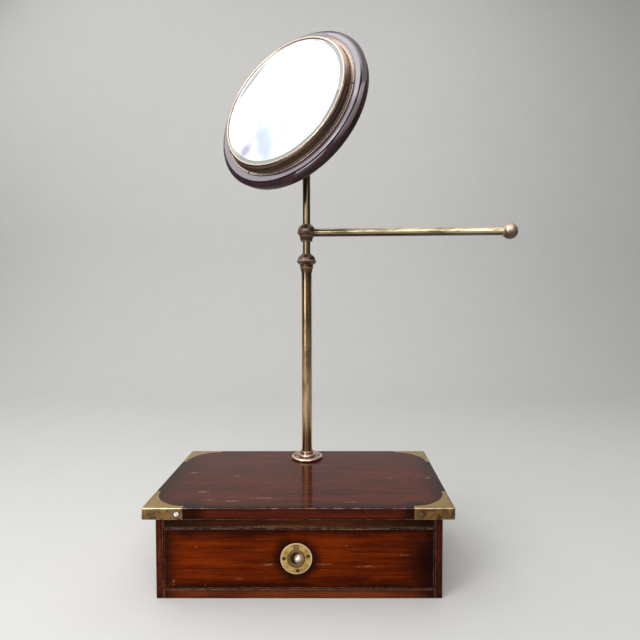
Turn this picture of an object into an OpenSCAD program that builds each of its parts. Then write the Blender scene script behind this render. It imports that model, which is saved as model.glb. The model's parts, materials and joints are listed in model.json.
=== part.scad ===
// Dressing mirror on a drawer box. A round tilting mirror stands on a telescopic
// brass pole at the back of a small box, with a plain brass arm that swings below it.
// Millimetres. The front faces -Y, and the origin is the centre of the underside.

/* [Top board] */
// Width of the top board
top_w = 305; // [290:1:330]
// Depth of the top board, front to back
top_d = 167; // [150:1:180]
// Thickness of the top board
top_t = 12; // [11:0.5:14]
// How far the top board stands past the case on every side
overhang = 10; // [7:0.5:12]

/* [Case] */
// Height of the case under the top board
case_h = 84; // [78:1:96]
// Thickness of the two sides
side_t = 7.5; // [6:0.5:9]
// Thickness of the back panel
back_t = 7; // [5:0.5:9]
// Thickness of the bottom board
bottom_t = 9.5; // [7:0.5:11]
// Height of the rail above the drawer
rail_h = 12.5; // [9:0.5:16]
// Depth of the rail above the drawer, front to back
rail_d = 16; // [12:1:30]

/* [Drawer] */
// Gap between the drawer and the case, at each side and above
drawer_gap = 0.6; // [0.4:0.1:1]
// Gap under and behind the closed drawer
drawer_run = 0.3; // [0.2:0.1:0.5]
// Thickness of the drawer's front
front_t = 13; // [12:0.5:15]
// Thickness of the drawer's sides and back
lining_t = 6; // [5:0.5:8]
// How much lower the drawer's sides are than its front
lining_drop = 7; // [4:1:15]
// Thickness of the drawer's bottom
drawer_bottom_t = 4; // [3:0.5:5]
// Height of the groove that holds the drawer's bottom
groove_z = 4; // [3:0.5:6]
// Depth of that groove
groove_d = 3; // [2:0.5:3.5]

/* [Corner mounts] */
// Length of each leg of a corner mount
corner_leg = 40; // [34:1:46]
// Width of a leg's end on the top face
corner_tip = 5; // [3:0.5:7]
// Thickness of the corner mount's brass
corner_t = 1.6; // [1.4:0.1:2]
// Distance of the outer screw from the corner
corner_screw_out = 10; // [9:0.5:12]
// Distance of the inner screw from the leg's end
corner_screw_in = 6; // [4:0.5:8]

/* [Screws] */
// Head radius of the screws in the corner mounts, the pole's flange and the back plate
screw_head_r = 2.3; // [2:0.1:2.6]
// Shank radius of those screws
screw_r = 1.1; // [0.9:0.1:1.3]
// Length of the screws in the corner mounts
corner_screw_l = 7.8; // [6:0.2:8]
// Length of the screws in the flange and the back plate
plate_screw_l = 10; // [8:0.5:11]
// Width of a screw's slot
slot_w = 0.7; // [0.5:0.1:0.9]
// Depth of a screw's slot
slot_d = 0.6; // [0.4:0.1:0.8]

/* [Ring pull] */
// Distance of the pull from the middle of the drawer, along X
pull_x = -3; // [-20:1:20]
// Radius of the pull's plate
pull_r = 15.8; // [15:0.2:18]
// Thickness of the pull's plate
pull_t = 3; // [2.9:0.1:3.4]
// Outer radius of the ring
ring_r = 8.5; // [8.2:0.1:9]
// Width of the ring's metal
ring_w = 2.4; // [2:0.1:2.8]
// Thickness of the ring
ring_t = 2.2; // [2:0.1:2.4]
// Play around the ring in its recess
ring_play = 0.25; // [0.2:0.05:0.4]
// Width of the ring's tab
tab_w = 4.9; // [4:0.1:6]
// Distance of the ring's hinge pin above its centre
hinge_up = 12.4; // [11.8:0.1:12.8]
// Radius of the hinge pin
hinge_pin_r = 0.6; // [0.5:0.05:0.7]
// Depth of the bowl behind the ring
bowl_d = 5; // [4:0.5:5.5]
// Distance of the pull's screws from its centre
pull_screw_at = 12.2; // [11.9:0.1:12.5]
// Head radius of the pull's screws
pull_screw_head_r = 1.9; // [1.6:0.1:2.1]

/* [Pole] */
// Distance of the pole's axis from the back edge of the top board
pole_back = 25; // [22:1:40]
// Radius of the flange at the pole's foot
flange_r = 19.2; // [18:0.2:21]
// Thickness of the flange's floor under the tube
flange_floor = 1.2; // [1:0.1:2]
// Height of the flange's collar
flange_h = 9.5; // [8:0.5:14]
// Wall of the lower tube
tube_wall = 1.2; // [1:0.05:1.5]
// Length of the lower tube
tube_l = 239; // [200:1:280]
// Radius of the sliding rod
rod_r = 4.75; // [4.5:0.05:5]
// Play between the sliding rod and the lower tube
rod_play = 0.4; // [0.3:0.05:0.6]
// Length of the sliding rod, from its shoulder to its top
rod_l = 370; // [350:1:420]
// Radius of the clamping knop
knop_r = 12.4; // [11:0.2:14]
// Height of the clamping knop
knop_h = 13.9; // [13:0.1:18]
// How far the rod can slide down from the height that it is shown at
lift_down = 14; // [5:1:30]

/* [Arm] */
// Length of the arm, from the pole's axis to the middle of the ball
arm_l = 247; // [150:1:300]
// Radius of the arm
arm_r = 5; // [4:0.1:5.5]
// Radius of the ball at the arm's end
ball_r = 9.6; // [8:0.1:12]
// Widest radius of the collar that carries the arm
collar_r = 12.2; // [11.5:0.1:14]
// Height of that collar
collar_h = 21.2; // [20:0.2:26]
// How far the arm is turned from the side toward the front
arm_turn = 4; // [-60:1:60]

/* [Mirror] */
// How far the mirror is turned from the front toward the left
head_turn = 33.6; // [-90:0.1:90]
// How far the mirror is tilted upward
head_tilt = 19; // [-5:0.5:60]
// Width of the wooden back's rim outside the bezel
wood_rim = 13.4; // [11:0.2:18]
// Thickness of the wooden back
wood_t = 16; // [15:0.5:20]
// Radius of the rounding on the wooden back's front and rear edges
wood_edge = 6; // [4:0.5:7]
// Distance of the wooden back from the tilting pin
head_stand = 25; // [24:0.5:32]
// Radius of the glass
glass_r = 83.6; // [78:0.2:86]
// Thickness of the glass
glass_t = 4; // [3:0.5:5]
// Width of the glass's bevel
bevel_w = 5; // [4:0.5:10]
// Depth of the glass's bevel at the edge
bevel_d = 1.8; // [1:0.1:2]
// Thickness of the packing board behind the glass
packing_t = 5.2; // [4:0.2:7]
// Width of the bezel's flange outside the glass
bezel_w = 6; // [5.2:0.2:9]
// Thickness of the bezel's flange
bezel_t = 1.4; // [1:0.1:2]
// Width of the flat ring on the bezel's flange
bezel_ring = 2.8; // [2.4:0.1:3.4]
// How far the bezel's lip reaches over the glass
lip_w = 1.6; // [1.2:0.1:2.4]

/* [Tilting joint] */
// Radius of the plate on the wooden back
plate_r = 22; // [20:0.5:28]
// Thickness of that plate
plate_t = 2.5; // [2:0.1:3.5]
// Thickness of the tongue between the fork's cheeks
tongue_t = 6; // [5:0.2:7]
// Radius of the tongue's round end
tongue_r = 5.5; // [5:0.1:6]
// Thickness of each cheek of the fork
cheek_t = 3; // [2.5:0.1:4]
// Radius of the pivot bolt
bolt_r = 2.5; // [2:0.1:3]
// Radius of the thumb nut
nut_r = 7; // [6:0.2:9]
// Thickness of the thumb nut
nut_t = 5.5; // [4:0.5:8]

/* [Hidden] */
$fn = 96;

// Colours
mahogany = [0.33, 0.13, 0.07];
dark_mahogany = [0.18, 0.09, 0.08];
lining_wood = [0.55, 0.36, 0.2];
brass = [0.72, 0.58, 0.3];
brown_brass = [0.5, 0.38, 0.28];
dark_steel = [0.2, 0.18, 0.15];
silver = [0.86, 0.89, 0.9];
card = [0.6, 0.5, 0.38];

// Clearances: a soldered or pushed fit, a turning fit, and a drilled hole around a screw
snug = 0.03;
turning = 0.06;
drilled = 0.1;
// Length by which a cut runs past the face that it opens
past = 1;

// Case
box_h = case_h + top_t;
case_w = top_w - 2 * overhang;
case_d = top_d - 2 * overhang;
open_w = case_w - 2 * side_t;
open_h = case_h - bottom_t - rail_h;

// Drawer
drawer_z = bottom_t + drawer_run;
drawer_w = open_w - 2 * drawer_gap;
front_h = open_h - drawer_run - drawer_gap;
front_y = -case_d / 2;
lining_y = front_y + front_t;
drawer_end = case_d / 2 - back_t - drawer_run;
lining_h = front_h - lining_drop;
groove_top = drawer_z + groove_z + drawer_bottom_t;

// Screws: the countersunk head is a right-angled cone, and the point is short
screw_point = 2;
corner_screw_at = [corner_screw_out, corner_leg - corner_screw_in];
// Slots lie as the screws happened to stop
slot_turns = [20, 110, 65, 150, 95, 40, 130, 10, 75, 160, 55, 120, 30, 140, 85, 5];

// Ring pull, drawn flat with the drawer's face at z = 0
pull_z = drawer_z + front_h / 2;
recess_d = ring_t + 0.4;
ring_z = -ring_t / 2 - 0.2;
bowl_r = ring_r - ring_w;
bowl_ball_r = (bowl_r * bowl_r + bowl_d * bowl_d) / (2 * bowl_d);
cup_r = ring_r + 1.5;
cup_d = recess_d + bowl_d + 1.2;
pull_screw_turns = [12, 179, 277];
pull_screw_r = 0.9;
pull_screw_l = 8;
pull_pin_l = tab_w + 6;

// Pole
pole_y = top_d / 2 - pole_back;
tube_bore = rod_r + rod_play;
tube_r = tube_bore + tube_wall;
bead_at = tube_r + 2.8;
flange_screw_at = (flange_r + bead_at) / 2;
flange_dish = 3;
tube_z = box_h + flange_floor;
tube_top = tube_z + tube_l;
ferrule_low = 7;
ferrule_up = 2;
collet_h = 9;
collet_r = rod_r + 2.25;
knop_z = tube_top + ferrule_up + 0.5;
knop_top = knop_z + knop_h;
foot_z = tube_z + lift_down + 3;
foot_nut_h = 3;
bush_h = 8;
spigot_r = rod_r - 1.55;
rod_z = foot_z + foot_nut_h + bush_h;
rod_top = rod_z + rod_l;
fork_seat = 14;
pivot_z = rod_top + fork_seat;

// Arm
collar_z = knop_top + lift_down + 0.8;
arm_up = 0.52 * collar_h;
arm_start = rod_r + 4;
arm_spigot_r = arm_r - 2;
ball_socket = 6;
set_screw_r = 1.5;
set_screw_up = 4.2;

// Mirror, drawn along its own axis with the tilting pin at the origin
wood_front = head_stand + wood_t;
glass_back = wood_front + packing_t;
glass_front = glass_back + glass_t;
bezel_r = glass_r + bezel_w;
wood_r = bezel_r + wood_rim;
rebate_r = glass_r + 0.2;
lip_r = glass_r - lip_w;
lip_z = glass_front - bevel_d * (bevel_w - lip_w) / bevel_w + 0.15;
lip_t = 0.9;
bezel_screw_turns = [3, 125, 248];
bezel_screw_r = 0.7;
bezel_screw_head_r = 1.15;
bezel_screw_l = 7;

// Tilting joint
cheek_gap = 0.1;
cheek_in = tongue_t / 2 + cheek_gap;
cheek_out = cheek_in + cheek_t;
cheek_r = tongue_r + 1;
fork_base_r = sqrt(cheek_out * cheek_out + cheek_r * cheek_r * 0.75);
fork_floor = -(cheek_r + 3);
bolt_head_r = bolt_r + 1.9;
bolt_head_t = 2.4;
washer_t = 0.8;
plate_screw_at = plate_r - 6;

// Points on an arc about c, from angle a to angle b
function arc(c, r, a, b, n = 8) =
    [for (i = [0 : n]) c + r * [cos(a + (b - a) * i / n), sin(a + (b - a) * i / n)]];

// Points on a curve that leaves p toward q and arrives at r
function curve(p, q, r, n = 10) =
    [for (i = [0 : n]) let (t = i / n) (1 - t) * (1 - t) * p + 2 * t * (1 - t) * q + t * t * r];

module turned(points) {
    rotate_extrude() polygon(points);
}

// A board between two corners
module board(low, high) {
    translate(low) cube(high - low);
}

// A countersunk screw with its head at z = 0 and its point below
module screw(head_r, r, length, turn) {
    cone = head_r - r;
    difference() {
        turned([[0, 0], [head_r, 0], [r, -cone], [r, screw_point - length], [0.15, -length], [0, -length]]);
        rotate([0, 0, turn])
            translate([-head_r - past, -slot_w / 2, -slot_d])
                cube([2 * (head_r + past), slot_w, slot_d + past]);
    }
}

// The hole that the same screw fills
module screw_hole(head_r, r, length) {
    cone = head_r - r;
    turned([[0, past], [head_r, past], [head_r, 0], [r + drilled, -cone + drilled],
        [r + drilled, -length - drilled], [0, -length - drilled]]);
}

// Puts a corner drawn toward +X, +Y and -Z at one corner of the top board
module at_corner(sx, sy) {
    translate([sx * top_w / 2, sy * top_d / 2, box_h])
        mirror([sx > 0 ? 1 : 0, 0, 0])
            mirror([0, sy > 0 ? 1 : 0, 0])
                children();
}

// Puts a screw drawn downward at each of a corner's four places, numbered for its slot
module at_corner_screws() {
    for (i = [0 : 1]) {
        translate([corner_screw_at[i], 0, -top_t / 2]) rotate([90, 0, 0]) children(i);
        translate([0, corner_screw_at[i], -top_t / 2]) rotate([0, -90, 0]) children(i + 2);
    }
}

module corner_solid() {
    translate([0, 0, -corner_t])
        linear_extrude(corner_t)
            difference() {
                square(corner_leg);
                translate([corner_leg, corner_leg]) circle(r = corner_leg - corner_tip);
            }
    translate([0, 0, -top_t]) cube([corner_leg, corner_t, top_t]);
    translate([0, 0, -top_t]) cube([corner_t, corner_leg, top_t]);
}

module corner_screw_hole() {
    screw_hole(screw_head_r, screw_r, corner_screw_l);
}

module corner_holes() {
    at_corner_screws() {
        corner_screw_hole();
        corner_screw_hole();
        corner_screw_hole();
        corner_screw_hole();
    }
}

module corner_mount(sx, sy) {
    color(brass)
        at_corner(sx, sy)
            difference() {
                corner_solid();
                corner_holes();
            }
}

module corner_screws() {
    color(brown_brass)
        for (c = [0 : 3])
            at_corner(c % 2 == 0 ? -1 : 1, c < 2 ? -1 : 1)
                at_corner_screws() {
                    screw(screw_head_r, screw_r, corner_screw_l, slot_turns[4 * c]);
                    screw(screw_head_r, screw_r, corner_screw_l, slot_turns[4 * c + 1]);
                    screw(screw_head_r, screw_r, corner_screw_l, slot_turns[4 * c + 2]);
                    screw(screw_head_r, screw_r, corner_screw_l, slot_turns[4 * c + 3]);
                }
}

// Puts a piece at each of the two screws of the flange
module at_flange_screws() {
    for (s = [-1, 1]) translate([s * flange_screw_at, pole_y, box_h + flange_dish]) children();
}

module flange_screw_hole() {
    screw_hole(screw_head_r, screw_r, plate_screw_l);
}

module top_board() {
    color(mahogany)
        difference() {
            board([-top_w / 2, -top_d / 2, case_h], [top_w / 2, top_d / 2, box_h]);
            for (sx = [-1, 1])
                for (sy = [-1, 1])
                    at_corner(sx, sy) {
                        corner_solid();
                        corner_holes();
                    }
            at_flange_screws() flange_screw_hole();
        }
}

module case_side(s) {
    color(mahogany)
        translate([s * (case_w - side_t) / 2 - side_t / 2, -case_d / 2, 0])
            cube([side_t, case_d, case_h]);
}

module case_back() {
    color(mahogany)
        board([-open_w / 2, case_d / 2 - back_t, 0], [open_w / 2, case_d / 2, case_h]);
}

module case_bottom() {
    color(mahogany)
        board([-open_w / 2, -case_d / 2, 0], [open_w / 2, case_d / 2 - back_t, bottom_t]);
}

module case_rail() {
    color(mahogany)
        board([-open_w / 2, -case_d / 2, case_h - rail_h], [open_w / 2, rail_d - case_d / 2, case_h]);
}

module pole_flange() {
    rim = 1.8;
    bead = 1.3;
    color(brass)
        difference() {
            translate([0, pole_y, box_h])
                turned(concat(
                    [[0, 0]],
                    arc([flange_r - rim, rim], rim, -90, 110),
                    [[flange_r - 2.2 * rim, flange_dish], [bead_at, flange_dish]],
                    arc([bead_at, flange_dish + bead], bead, -90, 90),
                    [[tube_r + 1.6, flange_dish + 2 * bead], [tube_r + 1.6, flange_h - 1]],
                    arc([tube_r + 0.6, flange_h - 1], 1, 0, 90, 4),
                    [[0, flange_h]]));
            translate([0, pole_y, tube_z]) cylinder(h = flange_h + past, r = tube_r + snug);
            at_flange_screws() flange_screw_hole();
        }
}

module flange_screws() {
    color(dark_steel)
        for (i = [0 : 1])
            translate([(2 * i - 1) * flange_screw_at, pole_y, box_h + flange_dish])
                screw(screw_head_r, screw_r, plate_screw_l, slot_turns[i + 2]);
}

module lower_tube() {
    color(brass)
        translate([0, pole_y, tube_z])
            difference() {
                cylinder(h = tube_l, r = tube_r);
                translate([0, 0, -past]) cylinder(h = tube_l + 2 * past, r = tube_bore);
            }
}

// The ferrule on the tube's top ends in a thin collet, slit four ways, that the knop squeezes
module clamp_ferrule() {
    wide = tube_r + 2.05;
    slit = 0.8;
    color(brown_brass)
        translate([0, pole_y, tube_top])
            difference() {
                turned(concat(
                    [[rod_r + turning, collet_h + ferrule_up], [rod_r + turning, 0], [tube_r + snug, 0],
                        [tube_r + snug, -ferrule_low], [tube_r + 0.5, -ferrule_low]],
                    curve([tube_r + 0.5, -ferrule_low], [tube_r + 0.9, -3], [wide, -1.5]),
                    [[wide, ferrule_up], [collet_r, ferrule_up], [collet_r, collet_h + ferrule_up - 1],
                        [collet_r - 1, collet_h + ferrule_up]]));
                for (a = [0, 90])
                    rotate([0, 0, a])
                        translate([-collet_r - past, -slit / 2, ferrule_up + 1.5])
                            cube([2 * (collet_r + past), slit, collet_h + past]);
            }
}

module clamp_knop() {
    rim_z = 0.34 * knop_h;
    rim_t = 1;
    neck = rod_r + 1.3;
    foot = tube_r + 2.7;
    collet_room = ferrule_up + collet_h - (knop_z - tube_top) + 0.6;
    color(brown_brass)
        translate([0, pole_y, knop_z])
            turned(concat(
                [[rod_r + turning, knop_h], [rod_r + turning, collet_room + 1],
                    [collet_r + turning, collet_room], [collet_r + turning, 0]],
                [[foot - 0.7, 0], [foot, 0.5], [foot, 1.2]],
                curve([foot - 0.3, 1.5], [foot + 0.6, rim_z - 1], [knop_r - 0.3, rim_z - rim_t / 2]),
                [[knop_r, rim_z - 0.2], [knop_r, rim_z + 0.2]],
                curve([knop_r - 0.3, rim_z + rim_t / 2], [knop_r - 1.6, rim_z + 5.6], [neck + 1.2, knop_h - 1.5], 12),
                [[neck, knop_h - 0.9], [neck - 0.2, knop_h]]));
}

// Drawer
module drawer_front() {
    color(mahogany)
        difference() {
            board([-drawer_w / 2, front_y, drawer_z], [drawer_w / 2, lining_y, drawer_z + front_h]);
            board([-drawer_w / 2 + lining_t - groove_d, lining_y - groove_d, drawer_z + groove_z],
                [drawer_w / 2 - lining_t + groove_d, lining_y + past, groove_top]);
            at_pull() {
                translate([0, 0, -pull_t]) cylinder(h = pull_t + past, r = pull_r);
                translate([0, 0, -cup_d - drilled]) cylinder(h = cup_d + past, r = cup_r + drilled);
                at_pull_screws() pull_screw_hole();
            }
        }
}

module drawer_side(s) {
    color(lining_wood)
        difference() {
            translate([s * (drawer_w - lining_t) / 2 - lining_t / 2, lining_y, drawer_z])
                cube([lining_t, drawer_end - lining_y, lining_h]);
            board([-drawer_w / 2 + lining_t - groove_d, lining_y - past, drawer_z + groove_z],
                [drawer_w / 2 - lining_t + groove_d, drawer_end + past, groove_top]);
        }
}

module drawer_back() {
    color(lining_wood)
        board([-drawer_w / 2 + lining_t, drawer_end - lining_t, groove_top],
            [drawer_w / 2 - lining_t, drawer_end, drawer_z + lining_h]);
}

module drawer_bottom() {
    color(lining_wood)
        board([-drawer_w / 2 + lining_t - groove_d, lining_y - groove_d, drawer_z + groove_z],
            [drawer_w / 2 - lining_t + groove_d, drawer_end, groove_top]);
}

// Ring pull
module at_pull() {
    translate([pull_x, front_y, pull_z]) rotate([90, 0, 0]) children();
}

module at_pull_screws() {
    for (a = pull_screw_turns)
        rotate([0, 0, a]) translate([pull_screw_at, 0, 0]) children();
}

module pull_screw_hole() {
    screw_hole(pull_screw_head_r, pull_screw_r, pull_screw_l);
}

module pull_plate() {
    color(brass)
        at_pull()
            difference() {
                union() {
                    translate([0, 0, -pull_t]) cylinder(h = pull_t, r = pull_r);
                    translate([0, 0, -cup_d]) cylinder(h = cup_d, r = cup_r);
                }
                translate([0, 0, -recess_d]) cylinder(h = recess_d + past, r = ring_r + ring_play);
                translate([0, 0, -recess_d - bowl_d + bowl_ball_r]) sphere(r = bowl_ball_r);
                translate([-tab_w / 2 - ring_play, 0, -recess_d])
                    cube([tab_w + 2 * ring_play, hinge_up + ring_t / 2 + 2 * ring_play, recess_d + past]);
                translate([-pull_pin_l / 2, hinge_up, ring_z])
                    rotate([0, 90, 0])
                        cylinder(h = pull_pin_l, r = hinge_pin_r);
                at_pull_screws() pull_screw_hole();
            }
}

module pull_screws() {
    color(dark_steel)
        at_pull()
            at_pull_screws()
                screw(pull_screw_head_r, pull_screw_r, pull_screw_l, 35);
}

module pull_pin() {
    color(brown_brass)
        at_pull()
            translate([-pull_pin_l / 2, hinge_up, ring_z])
                rotate([0, 90, 0])
                    cylinder(h = pull_pin_l, r = hinge_pin_r);
}

module pull_ring() {
    color(brass)
        at_pull()
            difference() {
                union() {
                    translate([0, 0, ring_z - ring_t / 2]) cylinder(h = ring_t, r = ring_r);
                    translate([-tab_w / 2, 0, ring_z - ring_t / 2]) cube([tab_w, hinge_up, ring_t]);
                    translate([-tab_w / 2, hinge_up, ring_z])
                        rotate([0, 90, 0])
                            cylinder(h = tab_w, r = ring_t / 2);
                }
                translate([0, 0, ring_z - ring_t]) cylinder(h = 2 * ring_t, r = bowl_r);
                translate([-tab_w, hinge_up, ring_z])
                    rotate([0, 90, 0])
                        cylinder(h = 2 * tab_w, r = hinge_pin_r + turning);
            }
}

// Sliding rod
module rod_foot_bush() {
    color(brown_brass)
        translate([0, pole_y, foot_z + foot_nut_h])
            difference() {
                cylinder(h = bush_h, r = tube_bore - turning);
                translate([0, 0, -past]) cylinder(h = bush_h + 2 * past, r = spigot_r + turning);
            }
}

module rod_foot_nut() {
    color(brown_brass)
        translate([0, pole_y, foot_z])
            difference() {
                cylinder(h = foot_nut_h, r = rod_r - 0.3);
                translate([0, 0, -past]) cylinder(h = foot_nut_h + 2 * past, r = spigot_r + snug);
            }
}

module sliding_rod() {
    color(brass)
        translate([0, pole_y, 0]) {
            translate([0, 0, foot_z]) cylinder(h = rod_z - foot_z + past, r = spigot_r);
            translate([0, 0, rod_z]) cylinder(h = rod_l, r = rod_r);
        }
}

// Tilting joint, drawn with the pin along X at the origin and the rod below
module at_pivot() {
    translate([0, pole_y, pivot_z]) rotate([0, 0, -head_turn]) children();
}

module across(x, length, r) {
    translate([x, 0, 0]) rotate([0, 90, 0]) cylinder(h = length, r = r);
}

module rod_fork() {
    socket = 8;
    foot_r = rod_r + 1.6;
    low = -fork_seat - socket;
    color(brown_brass)
        at_pivot()
            difference() {
                union() {
                    turned(concat(
                        [[0, low], [foot_r - 0.6, low], [foot_r, low + 0.6], [foot_r, low + 2.4]],
                        curve([foot_r - 0.5, low + 3], [foot_r - 0.6, fork_floor - 3], [fork_base_r, fork_floor - 2]),
                        [[fork_base_r, fork_floor], [0, fork_floor]]));
                    across(-cheek_out, 2 * cheek_out, cheek_r);
                    translate([-cheek_out, -cheek_r * 0.85, fork_floor - past])
                        cube([2 * cheek_out, 1.7 * cheek_r, past - fork_floor]);
                }
                translate([-cheek_in, -2 * cheek_r, fork_floor])
                    cube([2 * cheek_in, 4 * cheek_r, 2 * cheek_r - fork_floor]);
                across(-2 * cheek_out, 4 * cheek_out, bolt_r + snug);
                translate([0, 0, low - past]) cylinder(h = socket + past, r = rod_r + snug);
            }
}

module pivot_bolt() {
    color(brown_brass)
        at_pivot()
            difference() {
                union() {
                    across(-cheek_out, 2 * cheek_out + washer_t + nut_t + 1, bolt_r);
                    across(-cheek_out - bolt_head_t, bolt_head_t, bolt_head_r);
                }
                translate([-cheek_out - bolt_head_t - past, -bolt_head_r - past, -slot_w / 2])
                    cube([slot_d + past, 2 * (bolt_head_r + past), slot_w]);
            }
}

module pivot_washer() {
    color(brass)
        at_pivot()
            difference() {
                across(cheek_out, washer_t, bolt_r + 2.5);
                across(cheek_out - past, washer_t + 2 * past, bolt_r + turning);
            }
}

module thumb_nut() {
    teeth = 24;
    tooth = 0.35;
    thin = 1.2;
    color(brass)
        at_pivot()
            difference() {
                translate([cheek_out + washer_t, 0, 0])
                    rotate([0, 90, 0]) {
                        linear_extrude(nut_t - thin)
                            polygon([for (i = [0 : 2 * teeth - 1])
                                (nut_r - (i % 2) * tooth) * [cos(180 * i / teeth), sin(180 * i / teeth)]]);
                        cylinder(h = nut_t, r = nut_r - 2);
                    }
                across(cheek_out, washer_t + nut_t + past, bolt_r + turning);
            }
}

// Arm, drawn along +X with the pole's axis at the origin and the collar's foot at z = 0
module at_arm() {
    translate([0, pole_y, collar_z]) rotate([0, 0, -arm_turn]) children();
}

module arm_collar() {
    rim_low = arm_up - 0.7;
    rim_high = arm_up + 0.5;
    color(brown_brass)
        at_arm()
            difference() {
                turned(concat(
                    [[rod_r + turning, collar_h], [rod_r + turning, 0], [rod_r + 2.1, 0], [rod_r + 2.8, 0.6],
                        [rod_r + 2.8, 1.4]],
                    curve([rod_r + 2.6, 1.8], [rod_r + 3, 4], [collar_r - 2.2, 0.75 * rim_low]),
                    [[collar_r - 2.2, rim_low - 0.6], [collar_r - 0.5, rim_low], [collar_r, rim_low + 0.4],
                        [collar_r, rim_high - 0.4], [collar_r - 0.6, rim_high]],
                    curve([collar_r - 0.8, rim_high], [collar_r - 1.2, collar_h - 3], [rod_r + 2, collar_h - 1], 12),
                    [[rod_r + 1, collar_h]]));
                translate([arm_start, 0, arm_up])
                    rotate([0, 90, 0])
                        cylinder(h = collar_r, r = arm_r + snug);
                translate([0, 0, arm_up])
                    rotate([0, 90, 0])
                        cylinder(h = collar_r, r = arm_spigot_r + snug);
                translate([0, 0, set_screw_up])
                    rotate([0, -90, 0])
                        cylinder(h = 2 * collar_r, r = set_screw_r + snug);
            }
}

module arm_rod() {
    spigot = arm_start - rod_r - 0.4;
    color(brass)
        at_arm()
            translate([0, 0, arm_up])
                rotate([0, 90, 0]) {
                    translate([0, 0, arm_start])
                        cylinder(h = arm_l - ball_r + ball_socket - arm_start, r = arm_r);
                    translate([0, 0, arm_start - spigot])
                        cylinder(h = spigot + past, r = arm_spigot_r);
                }
}

module arm_ball() {
    bore = arm_r + snug;
    color(brown_brass)
        at_arm()
            translate([arm_l, 0, arm_up])
                rotate([0, 90, 0])
                    turned(concat(
                        arc([0, 0], ball_r, 90, -acos(bore / ball_r), 24),
                        [[bore, ball_socket - ball_r], [0, ball_socket - ball_r]]));
}

module arm_set_screw() {
    inner = rod_r + 0.15;
    length = 3.2;
    color(dark_steel)
        at_arm()
            translate([-inner, 0, set_screw_up])
                rotate([0, -90, 0])
                    difference() {
                        cylinder(h = length, r = set_screw_r);
                        translate([-2 * set_screw_r, -slot_w / 2, length - slot_d])
                            cube([4 * set_screw_r, slot_w, slot_d + past]);
                    }
}

// Mirror, drawn along +Z with the tilting pin along X at the origin
module at_head() {
    at_pivot() rotate([90 - head_tilt, 0, 0]) children();
}

module at_bezel_screws() {
    for (a = bezel_screw_turns)
        rotate([0, 0, a])
            translate([bezel_r - bezel_ring / 2, 0, wood_front + bezel_t])
                children();
}

module bezel_screw_hole() {
    screw_hole(bezel_screw_head_r, bezel_screw_r, bezel_screw_l);
}

module at_plate_screws() {
    for (a = [45 : 90 : 315])
        rotate([0, 0, a])
            translate([plate_screw_at, 0, head_stand - plate_t])
                rotate([180, 0, 0])
                    children();
}

module plate_screw_hole() {
    screw_hole(screw_head_r, screw_r, plate_screw_l);
}

module wooden_back() {
    step = 0.6;
    flat = wood_r - wood_edge;
    color(dark_mahogany)
        at_head()
            difference() {
                turned(concat(
                    [[0, head_stand], [flat - 1, head_stand]],
                    arc([flat - 1, head_stand + wood_edge], wood_edge, -90, -25),
                    arc([flat, wood_front - step - wood_edge], wood_edge, 0, 90),
                    [[flat - 0.8, wood_front], [0, wood_front]]));
                at_bezel_screws() bezel_screw_hole();
                at_plate_screws() plate_screw_hole();
            }
}

module packing_board() {
    color(card)
        at_head()
            translate([0, 0, wood_front])
                cylinder(h = packing_t, r = glass_r);
}

module mirror_glass() {
    color(silver)
        at_head()
            turned([[0, glass_back], [glass_r, glass_back], [glass_r, glass_front - bevel_d],
                [glass_r - bevel_w, glass_front], [0, glass_front]]);
}

module bezel() {
    ring_in = bezel_r - bezel_ring;
    base = wood_front + bezel_t;
    color(brass)
        at_head()
            difference() {
                turned(concat(
                    [[rebate_r, wood_front], [bezel_r, wood_front], [bezel_r, base - 0.3], [bezel_r - 0.3, base],
                        [ring_in + 0.3, base]],
                    curve([ring_in, base - 0.2], [rebate_r + lip_t, base], [rebate_r + lip_t, lip_z - 1]),
                    arc([rebate_r - 0.2, lip_z - 0.2], lip_t + 0.2, 0, 90),
                    [[lip_r + 0.3, lip_z + lip_t - 0.1], [lip_r, lip_z + lip_t - 0.4], [lip_r, lip_z],
                        [rebate_r, lip_z]]));
                at_bezel_screws() bezel_screw_hole();
            }
}

module bezel_screws() {
    color(dark_steel)
        at_head()
            at_bezel_screws()
                screw(bezel_screw_head_r, bezel_screw_r, bezel_screw_l, 0);
}

module back_plate() {
    edge = 0.6;
    color(brass)
        at_head()
            difference() {
                union() {
                    turned([[0, head_stand], [plate_r, head_stand], [plate_r, head_stand - plate_t + edge],
                        [plate_r - edge, head_stand - plate_t], [0, head_stand - plate_t]]);
                    across(-tongue_t / 2, tongue_t, tongue_r);
                    translate([-tongue_t / 2, -tongue_r, 0]) cube([tongue_t, 2 * tongue_r, head_stand - plate_t / 2]);
                }
                across(-tongue_t, 2 * tongue_t, bolt_r + turning);
                at_plate_screws() plate_screw_hole();
            }
}

module back_plate_screws() {
    color(brown_brass)
        at_head()
            at_plate_screws()
                screw(screw_head_r, screw_r, plate_screw_l, 30);
}

top_board();
case_side(-1);  // case_side_left
case_side(1);  // case_side_right
case_back();
case_bottom();
case_rail();
corner_mount(-1, -1);  // corner_front_left
corner_mount(1, -1);  // corner_front_right
corner_mount(-1, 1);  // corner_back_left
corner_mount(1, 1);  // corner_back_right
corner_screws();
pole_flange();
flange_screws();
lower_tube();
clamp_ferrule();
clamp_knop();
drawer_front();
drawer_side(-1);  // drawer_side_left
drawer_side(1);  // drawer_side_right
drawer_back();
drawer_bottom();
pull_plate();
pull_screws();
pull_pin();
pull_ring();
rod_foot_bush();
rod_foot_nut();
sliding_rod();
rod_fork();
pivot_bolt();
pivot_washer();
thumb_nut();
arm_collar();
arm_rod();
arm_ball();
arm_set_screw();
wooden_back();
packing_board();
mirror_glass();
bezel();
bezel_screws();
back_plate();
back_plate_screws();
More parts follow.
